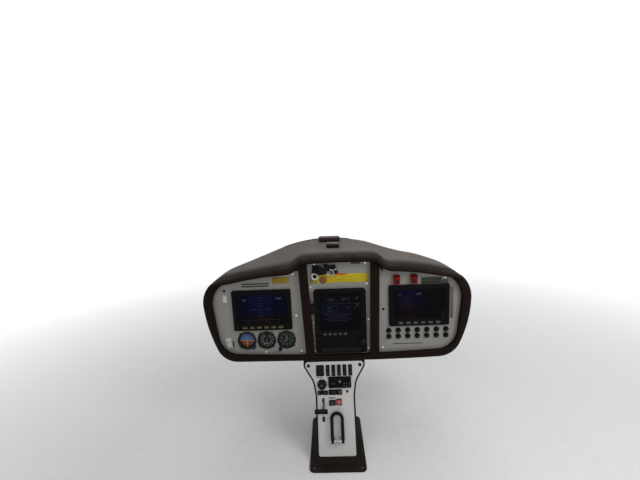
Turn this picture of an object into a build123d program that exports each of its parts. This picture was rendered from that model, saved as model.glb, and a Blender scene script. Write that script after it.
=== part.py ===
"""Instrument panel and centre console of a two-seat light sport aircraft.

Millimetres, +X to the pilot's right, +Y forward, +Z up.
The origin is the centre of the console's foot, on the cabin's tunnel floor.
"""

import os
from math import atan2, cos, radians, sin, sqrt

from build123d import *

os.makedirs("parts", exist_ok=True)

# Where the panel stands over the foot
panel_y = 21.0            # panel plane, forward of the foot's centre
panel_z = 390.0           # middle of the centre display, above the floor
head_x = 12.0             # head moulding's axis, from the console's middle
bay_shift = 12.0          # middle bay's offset from the head's axis

# Walls and clearances
gap = 0.3                 # between two pieces of one body
wall = 3.5                # moulded shell
rim = 6.0                 # thick front edge of the shell
plate_t = 2.5             # faceplates
frame_t = 4.0             # bulkhead frame behind the faceplates
overrun = 20.0            # how far a cut runs past what it cuts

# The head: hooded top and lower bowl
hump_top = 203.0          # heights over the middle of the centre display
wing_tip = 147.0
head_bottom = -122.0
parting_z = 125.0         # seam between glareshield and bowl
lip_depth = 30.0          # glareshield lip, towards the pilot from the panel plane
side_lip = 12.0           # the bowl's rim, towards the pilot
head_length = 270.0       # forward reach of the glareshield
bowl_length = 170.0       # forward reach of the lower bowl
hood_plan_radius = 417.0  # seen from above
bowl_plan_radius = 1046.0
bowl_floor_start = 12.0   # where the bowl's floor begins to rise, forward of the panel plane
bowl_floor_slope = 9.0    # degrees

# Crown that rises out of the hood towards its forward edge
crown_z = 217.0           # top of the forward edge
crown_rise = 30.0         # from the lip's plane
crown_radius = 780.0
crown_half = 345.0
crown_deep = 100.0

# Surround and bays
surround_proud = 15.0
surround_bevel = 2.4
rib_inner = 92.0          # rib's faces at the bays' top, from the middle bay's middle
rib_outer = 117.0
rib_lean = {-1: 11.5, 1: 5.5}  # how far each rib leans inwards down to its foot
plate_lap = 5.0           # how far a faceplate reaches under the surround
frame_lap = 6.0           # how far the frame reaches inside a bay
centre_bay_top = 180.0
centre_bay_bottom = -106.0
bay_corner = 10.0

# Display units
rib_room = 26.5           # from the rib to the display
side_room = 71.5          # from the display to the head's side
display_z = 40.0
display_w = 175.0
display_h = 124.0
display_proud = 8.0
display_body = 60.0       # box behind the faceplate
body_inset = 7.5          # box inside the bezel's edge
screen_w = 150.0
screen_h = 88.0
screen_up = 5.0
screen_deep = 4.0
glass_t = 2.5
key_count = 6
key_pitch = 21.5
key_w = 15.0
key_h = 8.0
key_up = 10.0             # over the bezel's bottom edge
key_deep = 3.0
key_t = 4.5
centre_w = 152.0
centre_h = 196.0
centre_proud = 14.0
centre_body = 95.0
centre_screen_w = 120.0
centre_screen_h = 112.0
centre_screen_up = 32.0
centre_key_count = 5
centre_key_pitch = 15.0
centre_key_w = 10.0
centre_keys_x = -17.0
centre_keys_up = 61.0     # over the bezel's bottom edge
knob_d = 18.0
knob_l = 10.0
knob_stem_d = 10.0
knob_in = 12.5            # from the bezel's right edge
knob_up = 37.0            # over the bezel's bottom edge
dock_w = 118.0
dock_h = 15.0
dock_up = 11.0            # over the bezel's bottom edge

# Round dials
dial_d = 56.0
dial_window = 47.0
dial_proud = 4.0
dial_body = 62.0
dial_neck = 3.0           # the can inside the bezel's edge
dial_deep = 8.0           # from the bezel's front to the face
dial_z = -56.0
dial_pitch = 60.0
dial_sides = 24           # flats of a dial
setting_knob_d = 10.0
setting_knob_off = 20.0   # below the altimeter's middle, and left of it
setting_knob_drop = 28.0
panel_switch_z = -66.0
panel_switch_w = 16.0
panel_switch_h = 22.0

# Circuit breakers
breaker_columns = 7
breaker_pitch = 28.0
breaker_rows = (-37.5, -56.0)
breaker_d = 13.0
breaker_button_d = 8.0
breaker_collar = 3.0
breaker_button = 6.0
button_sides = 12         # flats of a small round control
ring_sides = 16

# Guarded switches
guard_w = 17.0
guard_h = 22.0
guard_deep = 13.0
guard_hinge_z = 130.0
guard_hinge_out = 4.5     # pin's height over the base
guard_pin_d = 3.0
guard_wall = 1.6
guard_base_t = 2.0
toggle_d = 8.0

# Lock, its key and tags, over the centre display
lock_x = -46.0
lock_z = 158.0
lock_d = 20.0
lock_t = 6.0
key_bow_w = 26.0
key_bow_h = 20.0
key_bow_t = 4.0
key_bow_out = 10.0        # bow's back, over the lock's face
ring_t = 2.4
tag_t = 1.6

# Low domes on the glareshield
puck_h = 9.0

# Console
console_slope = 20.0      # plate's lean from the vertical, foot towards the pilot
console_top_z = -125.0
console_top_depth = 12.5
console_length = 255.0
console_ear_half = 87.0
console_ear_s = 12.0
console_neck_half = 60.0
console_neck_s = 54.0
console_half = 53.0
console_shank_s = 95.0
console_margin = 5.0      # moulding showing round the console plate
console_ledge = 5.0       # inner lip that carries the console plate
pedestal_wall = 4.0       # behind the console plate
pedestal_head = 80.0      # how far the moulding runs up beside the bowl
pedestal_rear = 70.0      # back edge, forward of the panel plane
foot_flange = 22.0
foot_t = 5.0
foot_corner = 14.0
foot_hole_d = 6.6
foot_hole_x = 68.0
foot_hole_y = 92.0
cable_way_y = 36.0        # middle of the way from pedestal to head
cable_way_w = 90.0
cable_way_l = 52.0

# Rockers, selector and radio on the console
rocker_s = 24.5           # down the plate
rocker_l = 31.0
wide_rocker_x = -42.5
wide_rocker_w = 23.0
first_rocker_x = -19.5
rocker_pitch = 16.7
rocker_w = 11.0
rocker_count = 5
rocker_body = 24.0
flap_x = -38.0
flap_s = 63.0
flap_d = 28.0
radio_x = 14.5
radio_s = 57.5
radio_w = 67.0
radio_h = 31.0
radio_body = 75.0
radio_proud = 6.0

# Throttle lever
lever_x = -36.0           # from the console's middle
lever_s = 128.0           # down the plate
lever_pivot = 70.0        # behind the plate's face
lever_out = 30.0          # T bar's height over the plate
lever_blade = 4.0
lever_depth = 12.0        # blade's width along its travel
lever_boss_d = 16.0
lever_boss_l = 10.0
lever_pin_d = 6.0
t_bar_d = 12.0
t_bar_l = 37.0
t_bar_left = -24.0        # its left end, from the lever
slot_w = 8.0
slot_l = 76.0
cheek_t = 3.0
cheek_w = 40.0
cheek_clear = 3.0         # between boss and cheek

# Brake lever
brake_x = 2.0
brake_top_s = 135.0
brake_pivot_s = 212.0
brake_off = 12.0          # pivot's height over the plate
brake_half = 15.0
brake_d = 7.0
brake_pin_d = 5.0
brake_eye_d = 11.0
brake_lug_x = 7.0
brake_lug_d = 14.0
brake_lug_t = 3.5
bar_sides = 8             # flats of the hoop's bar

# Places that follow from these sizes, from the bay's middle
head_half_width = rib_outer + rib_room + display_w + side_room
display_x = rib_outer + rib_room + display_w / 2
first_dial_x = -display_x - 53
panel_switch_x = -display_x - 105
first_breaker_x = display_x - 88

# Head section from the top down one side. Columns: x, z, 1 where x is from the bay's middle
head_section = [
    (0.0, hump_top, 1),
    (rib_inner + 6, hump_top - 2, 1),
    (rib_outer + 11, hump_top - 17, 1),
    (rib_outer + 41, hump_top - 32, 1),
    (head_half_width - 65, wing_tip, 0),
    (head_half_width, 60.0, 0),
    (head_half_width - 31, -78.0, 0),
    (head_half_width - 90, head_bottom + 4, 0),
    (0.0, head_bottom, 0),
]

# Edge of the three bays, same columns
bay_edge = [
    (0.0, 161.0, 0),
    (rib_outer + 41, 155.0, 0),
    (head_half_width - 84, 133.0, 0),
    (head_half_width - 25, 52.0, 0),
    (head_half_width - 36, -47.0, 0),
    (head_half_width - 91, -98.0, 0),
    (0.0, centre_bay_bottom, 0),
]


def face_plane(depth=0.0, shift=0.0):
    """Upright plane facing the pilot, depth towards the pilot from the panel plane."""
    origin = (head_x + shift, panel_y - depth, panel_z)
    return Plane(origin=origin, x_dir=(1, 0, 0), z_dir=(0, -1, 0))


def bay_plane(depth=0.0):
    return face_plane(depth, bay_shift)


crown_tilt = atan2(crown_rise, lip_depth + head_length)
crown_plane = Plane(
    origin=(head_x + bay_shift, panel_y + head_length, panel_z + crown_z),
    x_dir=(1, 0, 0),
    z_dir=(0, -cos(crown_tilt), -sin(crown_tilt)),
)
lean = radians(console_slope)
console_plane = Plane(
    origin=(0, panel_y - console_top_depth, panel_z + console_top_z),
    x_dir=(1, 0, 0),
    z_dir=(0, -cos(lean), sin(lean)),
)


def side_points(stations, side, inset):
    """One side of an outline, moved inwards square to its own line."""
    points = []
    heading = 0.0
    for x, z, follows in stations:
        px = side * x + bay_shift * follows
        if not points:
            points.append((px, z - inset))
        else:
            chord = atan2(z - last_z, side * (px - last_x))
            heading = 2 * chord - heading
            if x:
                points.append((px + side * inset * sin(heading), z - inset * cos(heading)))
            else:
                points.append((px, z + inset))
        last_x, last_z = px, z
    return points


def outline(stations, inset=0.0):
    """Face inside tangent arcs that run through the stations, left and right."""
    with BuildLine() as edge:
        for side in (1, -1):
            points = side_points(stations, side, inset)
            tangent = (side, 0)
            for start, end in zip(points, points[1:]):
                arc = TangentArc(start, end, tangent=tangent)
                tangent = arc % 1
    make_face(edge.edges())


def head_prism(near, far, inset=0.0, mode=Mode.ADD):
    """Head section drawn out between two depths, its skin moved inwards by inset."""
    with BuildSketch(face_plane(near)) as section:
        outline(head_section, inset)
    extrude(section.sketch, amount=far - near, mode=mode)


def crown(near, inset=0.0, mode=Mode.ADD):
    """Inclined barrel from a depth to past the forward edge."""
    with BuildSketch(crown_plane.offset(-overrun)) as arch:
        with Locations((0, -crown_radius)):
            Circle(crown_radius - inset)
        Rectangle(2 * (crown_half - inset), 2 * crown_deep, mode=Mode.INTERSECT)
    reach = (near + head_length) / cos(crown_tilt) + overrun
    extrude(arch.sketch, amount=reach, mode=mode)


def bowl_solid(near, far, inset=0.0):
    """Lower head as one block, with the rising floor."""
    floor_slope = radians(bowl_floor_slope)
    floor_plane = Plane(
        origin=(head_x, panel_y + bowl_floor_start, panel_z + head_bottom),
        x_dir=(1, 0, 0),
        z_dir=(0, -sin(floor_slope), cos(floor_slope)),
    )
    with BuildPart() as bowl:
        head_prism(near, far, inset)
        split(bisect_by=floor_plane.offset(inset), keep=Keep.TOP)
    return bowl.part


def plan_cut(radius, forward):
    """Keeps what lies inside the circle, seen from above, that reaches forward."""
    with BuildSketch(Plane.XY) as plan:
        with Locations((head_x, panel_y + forward - radius)):
            Circle(radius)
    extrude(plan.sketch, amount=panel_z + crown_z + overrun, mode=Mode.INTERSECT)


def console_outline(grow=0.0, top=0.0, bottom=console_length):
    """Console plate's outline; its ears are wide and its sides draw in below them."""
    right = [
        (console_ear_half, -top),
        (console_ear_half, -console_ear_s),
        (console_neck_half, -console_neck_s),
        (console_half, -console_shank_s),
        (console_half, -bottom),
    ]
    left = [(-x, y) for x, y in reversed(right)]
    ear, waist, foot = 9.0, 60.0, 6.0
    radii = [ear, ear, waist, waist, foot]
    with BuildLine() as edge:
        FilletPolyline(*right, *left, radius=radii + radii[::-1], close=True)
    make_face(edge.edges())
    if grow:
        offset(amount=grow, kind=Kind.INTERSECTION, mode=Mode.REPLACE)


def save(part, name):
    part.label = name
    export_step(part, f"parts/{name}.step")


def block(plane, spots, width, height, amount, mode=Mode.ADD):
    """Rectangle at each spot of a plane, extruded."""
    with BuildSketch(plane) as profile:
        with Locations(*spots):
            Rectangle(width, height)
    extrude(profile.sketch, amount=amount, mode=mode)


def stud(plane, spots, diameter, amount, sides=button_sides, mode=Mode.ADD):
    """Many-sided stud at each spot of a plane, its flats on the diameter."""
    with BuildSketch(plane) as profile:
        with Locations(*spots):
            RegularPolygon(diameter / 2, sides, major_radius=False)
    extrude(profile.sketch, amount=amount, mode=mode)


def bezel(plane, middle, width, height, proud, corner, bevel):
    """Plate with cut corners and a bevelled front edge."""
    with BuildSketch(plane) as face:
        with Locations(middle):
            Rectangle(width, height)
        chamfer(face.vertices(), corner)
    extrude(face.sketch, amount=proud)
    outwards = Axis(plane.origin, plane.z_dir)
    front = faces(Select.LAST).sort_by(outwards)[-1]
    chamfer(front.edges(), bevel)


def make_glareshield():
    with BuildPart() as glareshield:
        head_prism(lip_depth, -head_length)
        crown(lip_depth)
        head_prism(lip_depth + overrun, 0, rim, mode=Mode.SUBTRACT)
        head_prism(0, -head_length - overrun, wall, mode=Mode.SUBTRACT)
        crown(-plate_t - frame_t, wall, mode=Mode.SUBTRACT)
        split(bisect_by=Plane.XY.offset(panel_z + parting_z), keep=Keep.TOP)
        plan_cut(hood_plan_radius, head_length)
    return glareshield.part


def make_head_shell():
    outer = bowl_solid(side_lip, -head_length)
    hollow = bowl_solid(0, -head_length - overrun, wall)
    with BuildPart() as head_shell:
        add(outer)
        head_prism(side_lip + overrun, 0, rim, mode=Mode.SUBTRACT)
        add(hollow, mode=Mode.SUBTRACT)
        split(bisect_by=Plane.XY.offset(panel_z + parting_z - gap), keep=Keep.BOTTOM)
        plan_cut(hood_plan_radius, head_length)
        plan_cut(bowl_plan_radius, bowl_length)
        # Cable way down into the pedestal
        with BuildSketch(Plane.XY.offset(panel_z + head_bottom - overrun)):
            with Locations((0, panel_y + cable_way_y)):
                RectangleRounded(cable_way_w, cable_way_l, 8)
        extrude(amount=3 * overrun, mode=Mode.SUBTRACT)
    return head_shell.part


def rib_face(side, half, z):
    """Point on a rib's face at a height, half being its distance at the bays' top."""
    fall = (centre_bay_top - z) / (centre_bay_top - centre_bay_bottom)
    return (bay_shift + side * (half - rib_lean[side] * fall), z)


def between_ribs(half, top, bottom):
    """Corners of the space between two rib faces."""
    return [
        rib_face(-1, half, top),
        rib_face(1, half, top),
        rib_face(1, half, bottom),
        rib_face(-1, half, bottom),
    ]


def centre_bay(inset, corner):
    top, bottom = centre_bay_top - inset, centre_bay_bottom + inset
    with BuildSketch() as bay:
        Polygon(*between_ribs(rib_inner - inset, top, bottom), align=None)
        fillet(bay.vertices(), corner)
    return bay.sketch


def bays(inset=0.0):
    """The three bays in the surround, or the frame's windows with an inset."""
    outline(bay_edge, inset)
    ribs = between_ribs(rib_outer + inset, crown_radius, -crown_radius)
    Polygon(*ribs, align=None, mode=Mode.SUBTRACT)
    add(centre_bay(inset, bay_corner))


def make_surround():
    with BuildPart() as surround:
        head_prism(surround_proud, 0, rim + gap)
        front = surround.faces().sort_by(Axis.Y)[0]
        chamfer(front.edges(), surround_bevel)
        with BuildSketch(face_plane()):
            bays()
        extrude(amount=surround_proud, mode=Mode.SUBTRACT)
    return surround.part


def make_panel_frame():
    with BuildPart() as panel_frame:
        head_prism(-plate_t - gap, -plate_t - gap - frame_t, wall + gap)
        with BuildSketch(face_plane(-plate_t - gap)):
            bays(frame_lap)
        extrude(amount=-frame_t, mode=Mode.SUBTRACT)
    return panel_frame.part


def side_plate_blank(side):
    """D-shaped faceplate of one side, before its cut-outs."""
    with BuildSketch(face_plane()) as blank:
        outline(bay_edge, -plate_lap)
        inner = [rib_face(side, rib_outer - plate_lap, z) for z in (crown_radius, -crown_radius)]
        far = [(x - side * 2 * head_half_width, z) for x, z in reversed(inner)]
        Polygon(*inner, *far, align=None, mode=Mode.SUBTRACT)
    extrude(blank.sketch, amount=-plate_t)


def dial_spot(number):
    return (first_dial_x + number * dial_pitch, dial_z)


def make_side_plate(side):
    with BuildPart() as plate:
        side_plate_blank(side)
        opening_w = display_w - 2 * (body_inset - gap)
        opening_h = display_h - 2 * (body_inset - gap)
        spots = [(side * display_x, display_z)]
        block(bay_plane(), spots, opening_w, opening_h, -plate_t, Mode.SUBTRACT)
        if side < 0:
            spots = [dial_spot(number) for number in range(3)]
            opening_d = dial_d - 2 * dial_neck
            stud(bay_plane(), spots, opening_d, -plate_t, dial_sides, Mode.SUBTRACT)
    return plate.part


def make_centre_plate():
    opening_w = centre_w - 2 * (body_inset - gap)
    opening_h = centre_h - 2 * (body_inset - gap)
    with BuildPart() as plate:
        with BuildSketch(face_plane()):
            add(centre_bay(-plate_lap, bay_corner + plate_lap))
            with Locations((bay_shift, 0)):
                Rectangle(opening_w, opening_h, mode=Mode.SUBTRACT)
        extrude(amount=-plate_t)
    return plate.part


def keys_middle(side):
    return (side * display_x, display_z - display_h / 2 + key_up)


def key_spots(middle, count, pitch):
    first = middle[0] - pitch * (count - 1) / 2
    return [(first + number * pitch, middle[1]) for number in range(count)]


def make_display_case(side):
    middle = (side * display_x, display_z)
    front = bay_plane(gap + display_proud)
    body_w = display_w - 2 * body_inset
    body_h = display_h - 2 * body_inset
    screen_spot = (middle[0], middle[1] + screen_up)
    with BuildPart() as case:
        bezel(bay_plane(gap), middle, display_w, display_h, display_proud, 3.0, 1.5)
        block(bay_plane(gap), [middle], body_w, body_h, -display_body)
        block(front, [screen_spot], screen_w, screen_h, -screen_deep, Mode.SUBTRACT)
        spots = key_spots(keys_middle(side), key_count, key_pitch)
        block(front, spots, key_w, key_h, -key_deep, Mode.SUBTRACT)
    return case.part


def make_display_screen(side):
    seat = bay_plane(gap + display_proud - screen_deep)
    spot = (side * display_x, display_z + screen_up)
    with BuildPart() as screen:
        block(seat, [spot], screen_w - 2 * gap, screen_h - 2 * gap, glass_t)
    return screen.part


def make_keys(middle, count, pitch, width, height, front_depth):
    """Row of keys with bevelled tops, seated in the pockets of their bezel."""
    with BuildPart() as keys:
        for spot in key_spots(middle, count, pitch):
            bezel(bay_plane(front_depth - key_deep), spot, width, height, key_t, 1.0, 0.8)
    return keys.part


def make_display_keys(side):
    width, height = key_w - 2 * gap, key_h - 2 * gap
    front = gap + display_proud
    return make_keys(keys_middle(side), key_count, key_pitch, width, height, front)


centre_keys_middle = (centre_keys_x, centre_keys_up - centre_h / 2)
knob_spot = (centre_w / 2 - knob_in, knob_up - centre_h / 2)
dock_spot = (0, dock_up - centre_h / 2)


def make_centre_case():
    front = bay_plane(gap + centre_proud)
    body_w = centre_w - 2 * body_inset
    body_h = centre_h - 2 * body_inset
    screen_spot = (0, centre_screen_up)
    screen_size = (centre_screen_w, centre_screen_h)
    with BuildPart() as case:
        bezel(bay_plane(gap), (0, 0), centre_w, centre_h, centre_proud, 6.0, 2.5)
        block(bay_plane(gap), [(0, 0)], body_w, body_h, -centre_body)
        block(front, [screen_spot], *screen_size, -screen_deep, Mode.SUBTRACT)
        spots = key_spots(centre_keys_middle, centre_key_count, centre_key_pitch)
        block(front, spots, centre_key_w, key_h, -key_deep, Mode.SUBTRACT)
        stud(front, [knob_spot], knob_stem_d, -key_deep, mode=Mode.SUBTRACT)
        block(front, [dock_spot], dock_w, dock_h, -key_deep, Mode.SUBTRACT)
    return case.part


def make_centre_screen():
    seat = bay_plane(gap + centre_proud - screen_deep)
    size = (centre_screen_w - 2 * gap, centre_screen_h - 2 * gap)
    with BuildPart() as screen:
        block(seat, [(0, centre_screen_up)], *size, glass_t)
    return screen.part


def make_centre_keys():
    width, height = centre_key_w - 2 * gap, key_h - 2 * gap
    front = gap + centre_proud
    return make_keys(
        centre_keys_middle, centre_key_count, centre_key_pitch, width, height, front
    )


def make_centre_knob():
    with BuildPart() as knob:
        seat = bay_plane(gap + centre_proud - key_deep)
        stud(seat, [knob_spot], knob_stem_d - 2 * gap, key_deep + 2 * gap)
        skirt = bay_plane(centre_proud + 2 * gap)
        stud(skirt, [knob_spot], knob_d, knob_l, dial_sides)
        chamfer(knob.faces().sort_by(Axis.Y)[0].edges(), 1.5)
    return knob.part


def make_centre_dock():
    """Ribbed cover of the sockets along the bottom of the centre unit."""
    seat = bay_plane(gap + centre_proud - key_deep)
    ribs = [(dock_spot[0] + 17 * number, dock_spot[1]) for number in (-3, -2, -1, 0, 1, 2, 3)]
    with BuildPart() as dock:
        block(seat, [dock_spot], dock_w - 2 * gap, dock_h - 2 * gap, key_deep - 1)
        block(seat, ribs, 11.0, dock_h - 4, key_deep + 1)
    return dock.part


def make_dial_case(number):
    """Turned can with a bezel flange in front of the plate and a window in it."""
    spots = [dial_spot(number)]
    front = bay_plane(gap + dial_proud)
    body_d = dial_d - 2 * (dial_neck + gap)
    with BuildPart() as case:
        stud(bay_plane(gap), spots, dial_d, dial_proud, dial_sides)
        chamfer(case.faces().sort_by(Axis.Y)[0].edges(), 1.5)
        stud(bay_plane(gap), spots, body_d, -dial_body, dial_sides)
        stud(front, spots, dial_window, -dial_deep, dial_sides, Mode.SUBTRACT)
    return case.part


def make_dial_face(number):
    """Face with a raised rim that stands at the bottom of the window."""
    seat = bay_plane(gap + dial_proud - dial_deep)
    with BuildPart() as dial:
        stud(seat, [dial_spot(number)], dial_window - 2 * gap, 1.5, dial_sides)
        stud(seat, [dial_spot(number)], 6.0, 3.0)
    return dial.part


def make_setting_knob():
    """Altimeter's pressure knob on its boss, outside the bezel's lower left."""
    dial = dial_spot(2)
    spot = (dial[0] - setting_knob_off, dial[1] - setting_knob_drop)
    with BuildPart() as knob:
        stud(bay_plane(gap), [spot], setting_knob_d + 2, 3.0)
        stud(bay_plane(gap + 3.0), [spot], setting_knob_d, 8.0)
        chamfer(knob.faces().sort_by(Axis.Y)[0].edges(), 0.8)
    return knob.part


def make_panel_switch():
    spot = (panel_switch_x, panel_switch_z)
    with BuildPart() as switch:
        bezel(bay_plane(gap), spot, panel_switch_w, panel_switch_h, 2.0, 1.0, 0.5)
        block(bay_plane(gap), [spot], panel_switch_w - 5, panel_switch_h - 6, 5.0)
    return switch.part


def make_breakers():
    spots = [
        (first_breaker_x + column * breaker_pitch, row)
        for row in breaker_rows
        for column in range(breaker_columns)
    ]
    with BuildPart() as breakers:
        stud(bay_plane(gap), spots, breaker_d, breaker_collar)
        button_seat = bay_plane(gap + breaker_collar)
        stud(button_seat, spots, breaker_button_d, breaker_button, bar_sides)
    return breakers.part


# Guarded switches. Columns: node's ending, x from the bay's middle
guards = [("left", display_x - 65), ("right", display_x - 15)]
base_w = guard_w - 2 * (guard_wall + 1)


def hinge_plane(x):
    """Square to the guard's pin, x forward and y up."""
    hinge_y = panel_y - gap - guard_hinge_out
    origin = (head_x + bay_shift + x, hinge_y, panel_z + guard_hinge_z)
    return Plane(origin=origin, x_dir=(0, 1, 0), z_dir=(1, 0, 0))


def make_guard_bases():
    """Base plates with a hinge barrel on top and a pin that ends in the guard's ears."""
    with BuildPart() as bases:
        for _, x in guards:
            base_spot = (x, guard_hinge_z - guard_h / 2 + 1)
            block(bay_plane(gap), [base_spot], base_w, guard_h + 4, guard_base_t)
            barrel = hinge_plane(x).offset(-base_w / 2)
            block(barrel, [(guard_hinge_out / 2, 0)], guard_hinge_out, 6.0, base_w)
            stud(barrel, [(0, 0)], 6.0, base_w, bar_sides)
            pin = hinge_plane(x).offset(-guard_w / 2 - 0.5)
            stud(pin, [(0, 0)], guard_pin_d, guard_w + 1, bar_sides)
    return bases.part


def make_toggles():
    """Bushing and bat of each guarded switch."""
    spots = [(x, guard_hinge_z - guard_h / 2) for _, x in guards]
    seat = gap + guard_base_t
    with BuildPart() as toggles:
        stud(bay_plane(seat + gap), spots, toggle_d, 3.0, bar_sides)
        stud(bay_plane(seat + gap + 3.0), spots, 3.2, 4.5, bar_sides)
    return toggles.part


def make_guard(x):
    """Red flip-up cover: a U-shaped cap hinged on the pin through its two ears."""
    front = guard_hinge_out - guard_deep
    with BuildPart() as guard:
        with BuildSketch(hinge_plane(x)) as profile:
            with BuildLine():
                Polyline(
                    (2.5, 3.0),
                    (-3.0, 3.0),
                    (front, -4.0),
                    (front, -guard_h),
                    (1.0, -guard_h),
                    (1.0, -4.0),
                    (2.5, -3.0),
                    close=True,
                )
            make_face()
        extrude(profile.sketch, amount=guard_w / 2, both=True)
        inside = hinge_plane(x).offset(guard_wall - guard_w / 2)
        cavity = [(front + guard_wall + overrun / 2, -guard_h / 2)]
        block(inside, cavity, overrun, guard_h + overrun, guard_w - 2 * guard_wall, Mode.SUBTRACT)
        ears = hinge_plane(x).offset(-guard_w)
        stud(ears, [(0, 0)], guard_pin_d + 0.4, 2 * guard_w, bar_sides, Mode.SUBTRACT)
    return guard.part


def make_key_lock():
    """Lock barrel with its key turned in, the bow upright."""
    spot = (lock_x, lock_z)
    face = gap + lock_t
    with BuildPart() as lock:
        stud(bay_plane(gap), [spot], lock_d, lock_t, dial_sides)
        chamfer(lock.faces().sort_by(Axis.Y)[0].edges(), 1.2)
        block(bay_plane(face), [spot], 2.2, 8.0, key_bow_out)
        bow = bay_plane(face + key_bow_out)
        bezel(bow, spot, key_bow_w, key_bow_h, key_bow_t, 6.0, 1.0)
    return lock.part


# What hangs beside the key, flat on the plate. Columns: x, z, outer diameter, hole, thickness
hanging = [
    (-22.0, 148.0, 22.0, 16.0, ring_t),
    (-70.0, 138.0, 20.0, 11.0, ring_t),
    (-46.0, 127.0, 19.0, 3.0, tag_t),
]


def make_key_tags():
    with BuildPart() as tags:
        for x, z, outer_d, hole_d, thickness in hanging:
            stud(bay_plane(gap), [(x, z)], outer_d, thickness, ring_sides)
            stud(bay_plane(gap), [(x, z)], hole_d, thickness, ring_sides, Mode.SUBTRACT)
    return tags.part


def crown_seat(x, back):
    """Plane on the crown at x from the bay's middle, back from the forward edge."""
    rise = sqrt(crown_radius**2 - x**2) - crown_radius
    tilt = Vector(x / crown_radius, 1 + rise / crown_radius, 0)
    normal = crown_plane.x_dir * tilt.X + crown_plane.y_dir * tilt.Y
    across = crown_plane.x_dir * tilt.Y - crown_plane.y_dir * tilt.X
    origin = crown_plane.from_local_coords((x, rise, back))
    return Plane(origin=origin, x_dir=across, z_dir=normal).offset(gap)


def make_pucks():
    """Two low antenna domes along the middle of the glareshield."""
    hump_seat = Plane(
        origin=(head_x + bay_shift - 18, panel_y + 104, panel_z + hump_top + gap),
        x_dir=(1, 0, 0),
        z_dir=(0, 0, 1),
    )
    with BuildPart() as pucks:
        bezel(crown_seat(-33.0, 46.0), (0, 0), 54.0, 34.0, puck_h, 8.0, 3.0)
        bezel(hump_seat, (0, 0), 30.0, 44.0, puck_h, 9.0, 3.0)
    return pucks.part


def make_pedestal_shell():
    skin = console_plane.offset(-plate_t - gap)
    bottom = console_length + 2 * foot_hole_y
    with BuildPart() as pedestal:
        with BuildSketch(skin):
            console_outline(console_margin, -pedestal_head, bottom)
        extrude(amount=-bottom)
        with BuildSketch(skin.offset(-pedestal_wall)):
            console_outline(console_margin - wall, -pedestal_head - overrun, bottom + overrun)
        extrude(amount=-bottom, mode=Mode.SUBTRACT)
        with BuildSketch(console_plane):
            console_outline(-console_ledge)
        extrude(amount=-overrun, mode=Mode.SUBTRACT)
        rear = Plane(origin=(0, panel_y + pedestal_rear, 0), z_dir=(0, 1, 0))
        split(bisect_by=rear, keep=Keep.BOTTOM)
        split(bisect_by=Plane.XY, keep=Keep.TOP)
        split(bisect_by=Plane.XY.offset(panel_z + console_top_z + 60), keep=Keep.BOTTOM)
        flange_half = console_half + console_margin + foot_flange
        foot_depth = 2 * (foot_hole_y + foot_corner)
        with BuildSketch(Plane.XY):
            RectangleRounded(2 * flange_half, foot_depth, foot_corner)
            inner_half = console_half + console_margin - wall
            Rectangle(2 * inner_half, 2 * pedestal_rear, mode=Mode.SUBTRACT)
        extrude(amount=foot_t)
        with BuildSketch(Plane.XY):
            with GridLocations(2 * foot_hole_x, 2 * foot_hole_y, 2, 2):
                Circle(foot_hole_d / 2)
        extrude(amount=foot_t, mode=Mode.SUBTRACT)
    grown = bowl_solid(side_lip + overrun, -bowl_length - overrun, -gap)
    return pedestal.part - grown


# Rocker switches on the console. Columns: x from the console's middle, width
rockers = [(wide_rocker_x, wide_rocker_w)] + [
    (first_rocker_x + rocker_pitch * number, rocker_w) for number in range(rocker_count)
]
radio_spot = (radio_x, -radio_s)
flap_spot = (flap_x, -flap_s)


def make_console_plate():
    through = -plate_t
    with BuildPart() as plate:
        with BuildSketch(console_plane):
            console_outline()
        extrude(amount=through)
        for x, width in rockers:
            spot = (x, -rocker_s)
            block(console_plane, [spot], width - 2, rocker_l - 4, through, Mode.SUBTRACT)
        block(console_plane, [radio_spot], radio_w - 7, radio_h - 6, through, Mode.SUBTRACT)
        with BuildSketch(console_plane):
            with Locations((lever_x, -lever_s)):
                SlotOverall(slot_l, slot_w, rotation=90)
        extrude(amount=through, mode=Mode.SUBTRACT)
    return plate.part


def make_rockers():
    """Frames, tapered rockers and the switch bodies behind the plate."""
    seat = console_plane.offset(gap)
    with BuildPart() as switches:
        for x, width in rockers:
            spot = (x, -rocker_s)
            block(seat, [spot], width, rocker_l, 2.0)
            with BuildSketch(seat.offset(2.0)):
                with Locations(spot):
                    Rectangle(width - 3, rocker_l - 6)
            extrude(amount=4.0, taper=12)
            block(seat, [spot], width - 2 - 2 * gap, rocker_l - 4 - 2 * gap, -rocker_body)
    return switches.part


def make_flap_selector():
    with BuildPart() as selector:
        stud(console_plane.offset(gap), [flap_spot], flap_d, 6.0, dial_sides)
        top = console_plane.offset(gap + 6.0)
        stud(top, [flap_spot], 0.64 * flap_d, 8.0)
        block(top, [(flap_x, -flap_s - 8)], 5.0, 22.0, 8.0)
    return selector.part


def make_radio_unit():
    seat = console_plane.offset(gap)
    body = (radio_w - 7 - 2 * gap, radio_h - 6 - 2 * gap)
    with BuildPart() as radio:
        bezel(seat, radio_spot, radio_w, radio_h, radio_proud, 2.0, 1.0)
        block(seat, [radio_spot], *body, -radio_body)
    return radio.part


# Knobs on the radio. Columns: x, distance down the plate, diameter, height
radio_knob_table = [(14.5, 54.0, 9.0, 9.0), (40.0, 49.0, 6.0, 5.0), (-10.0, 49.0, 6.0, 5.0)]


def make_radio_knobs():
    front = console_plane.offset(2 * gap + radio_proud)
    with BuildPart() as knobs:
        for x, s, diameter, height in radio_knob_table:
            stud(front, [(x, -s)], diameter, height)
    return knobs.part


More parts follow.
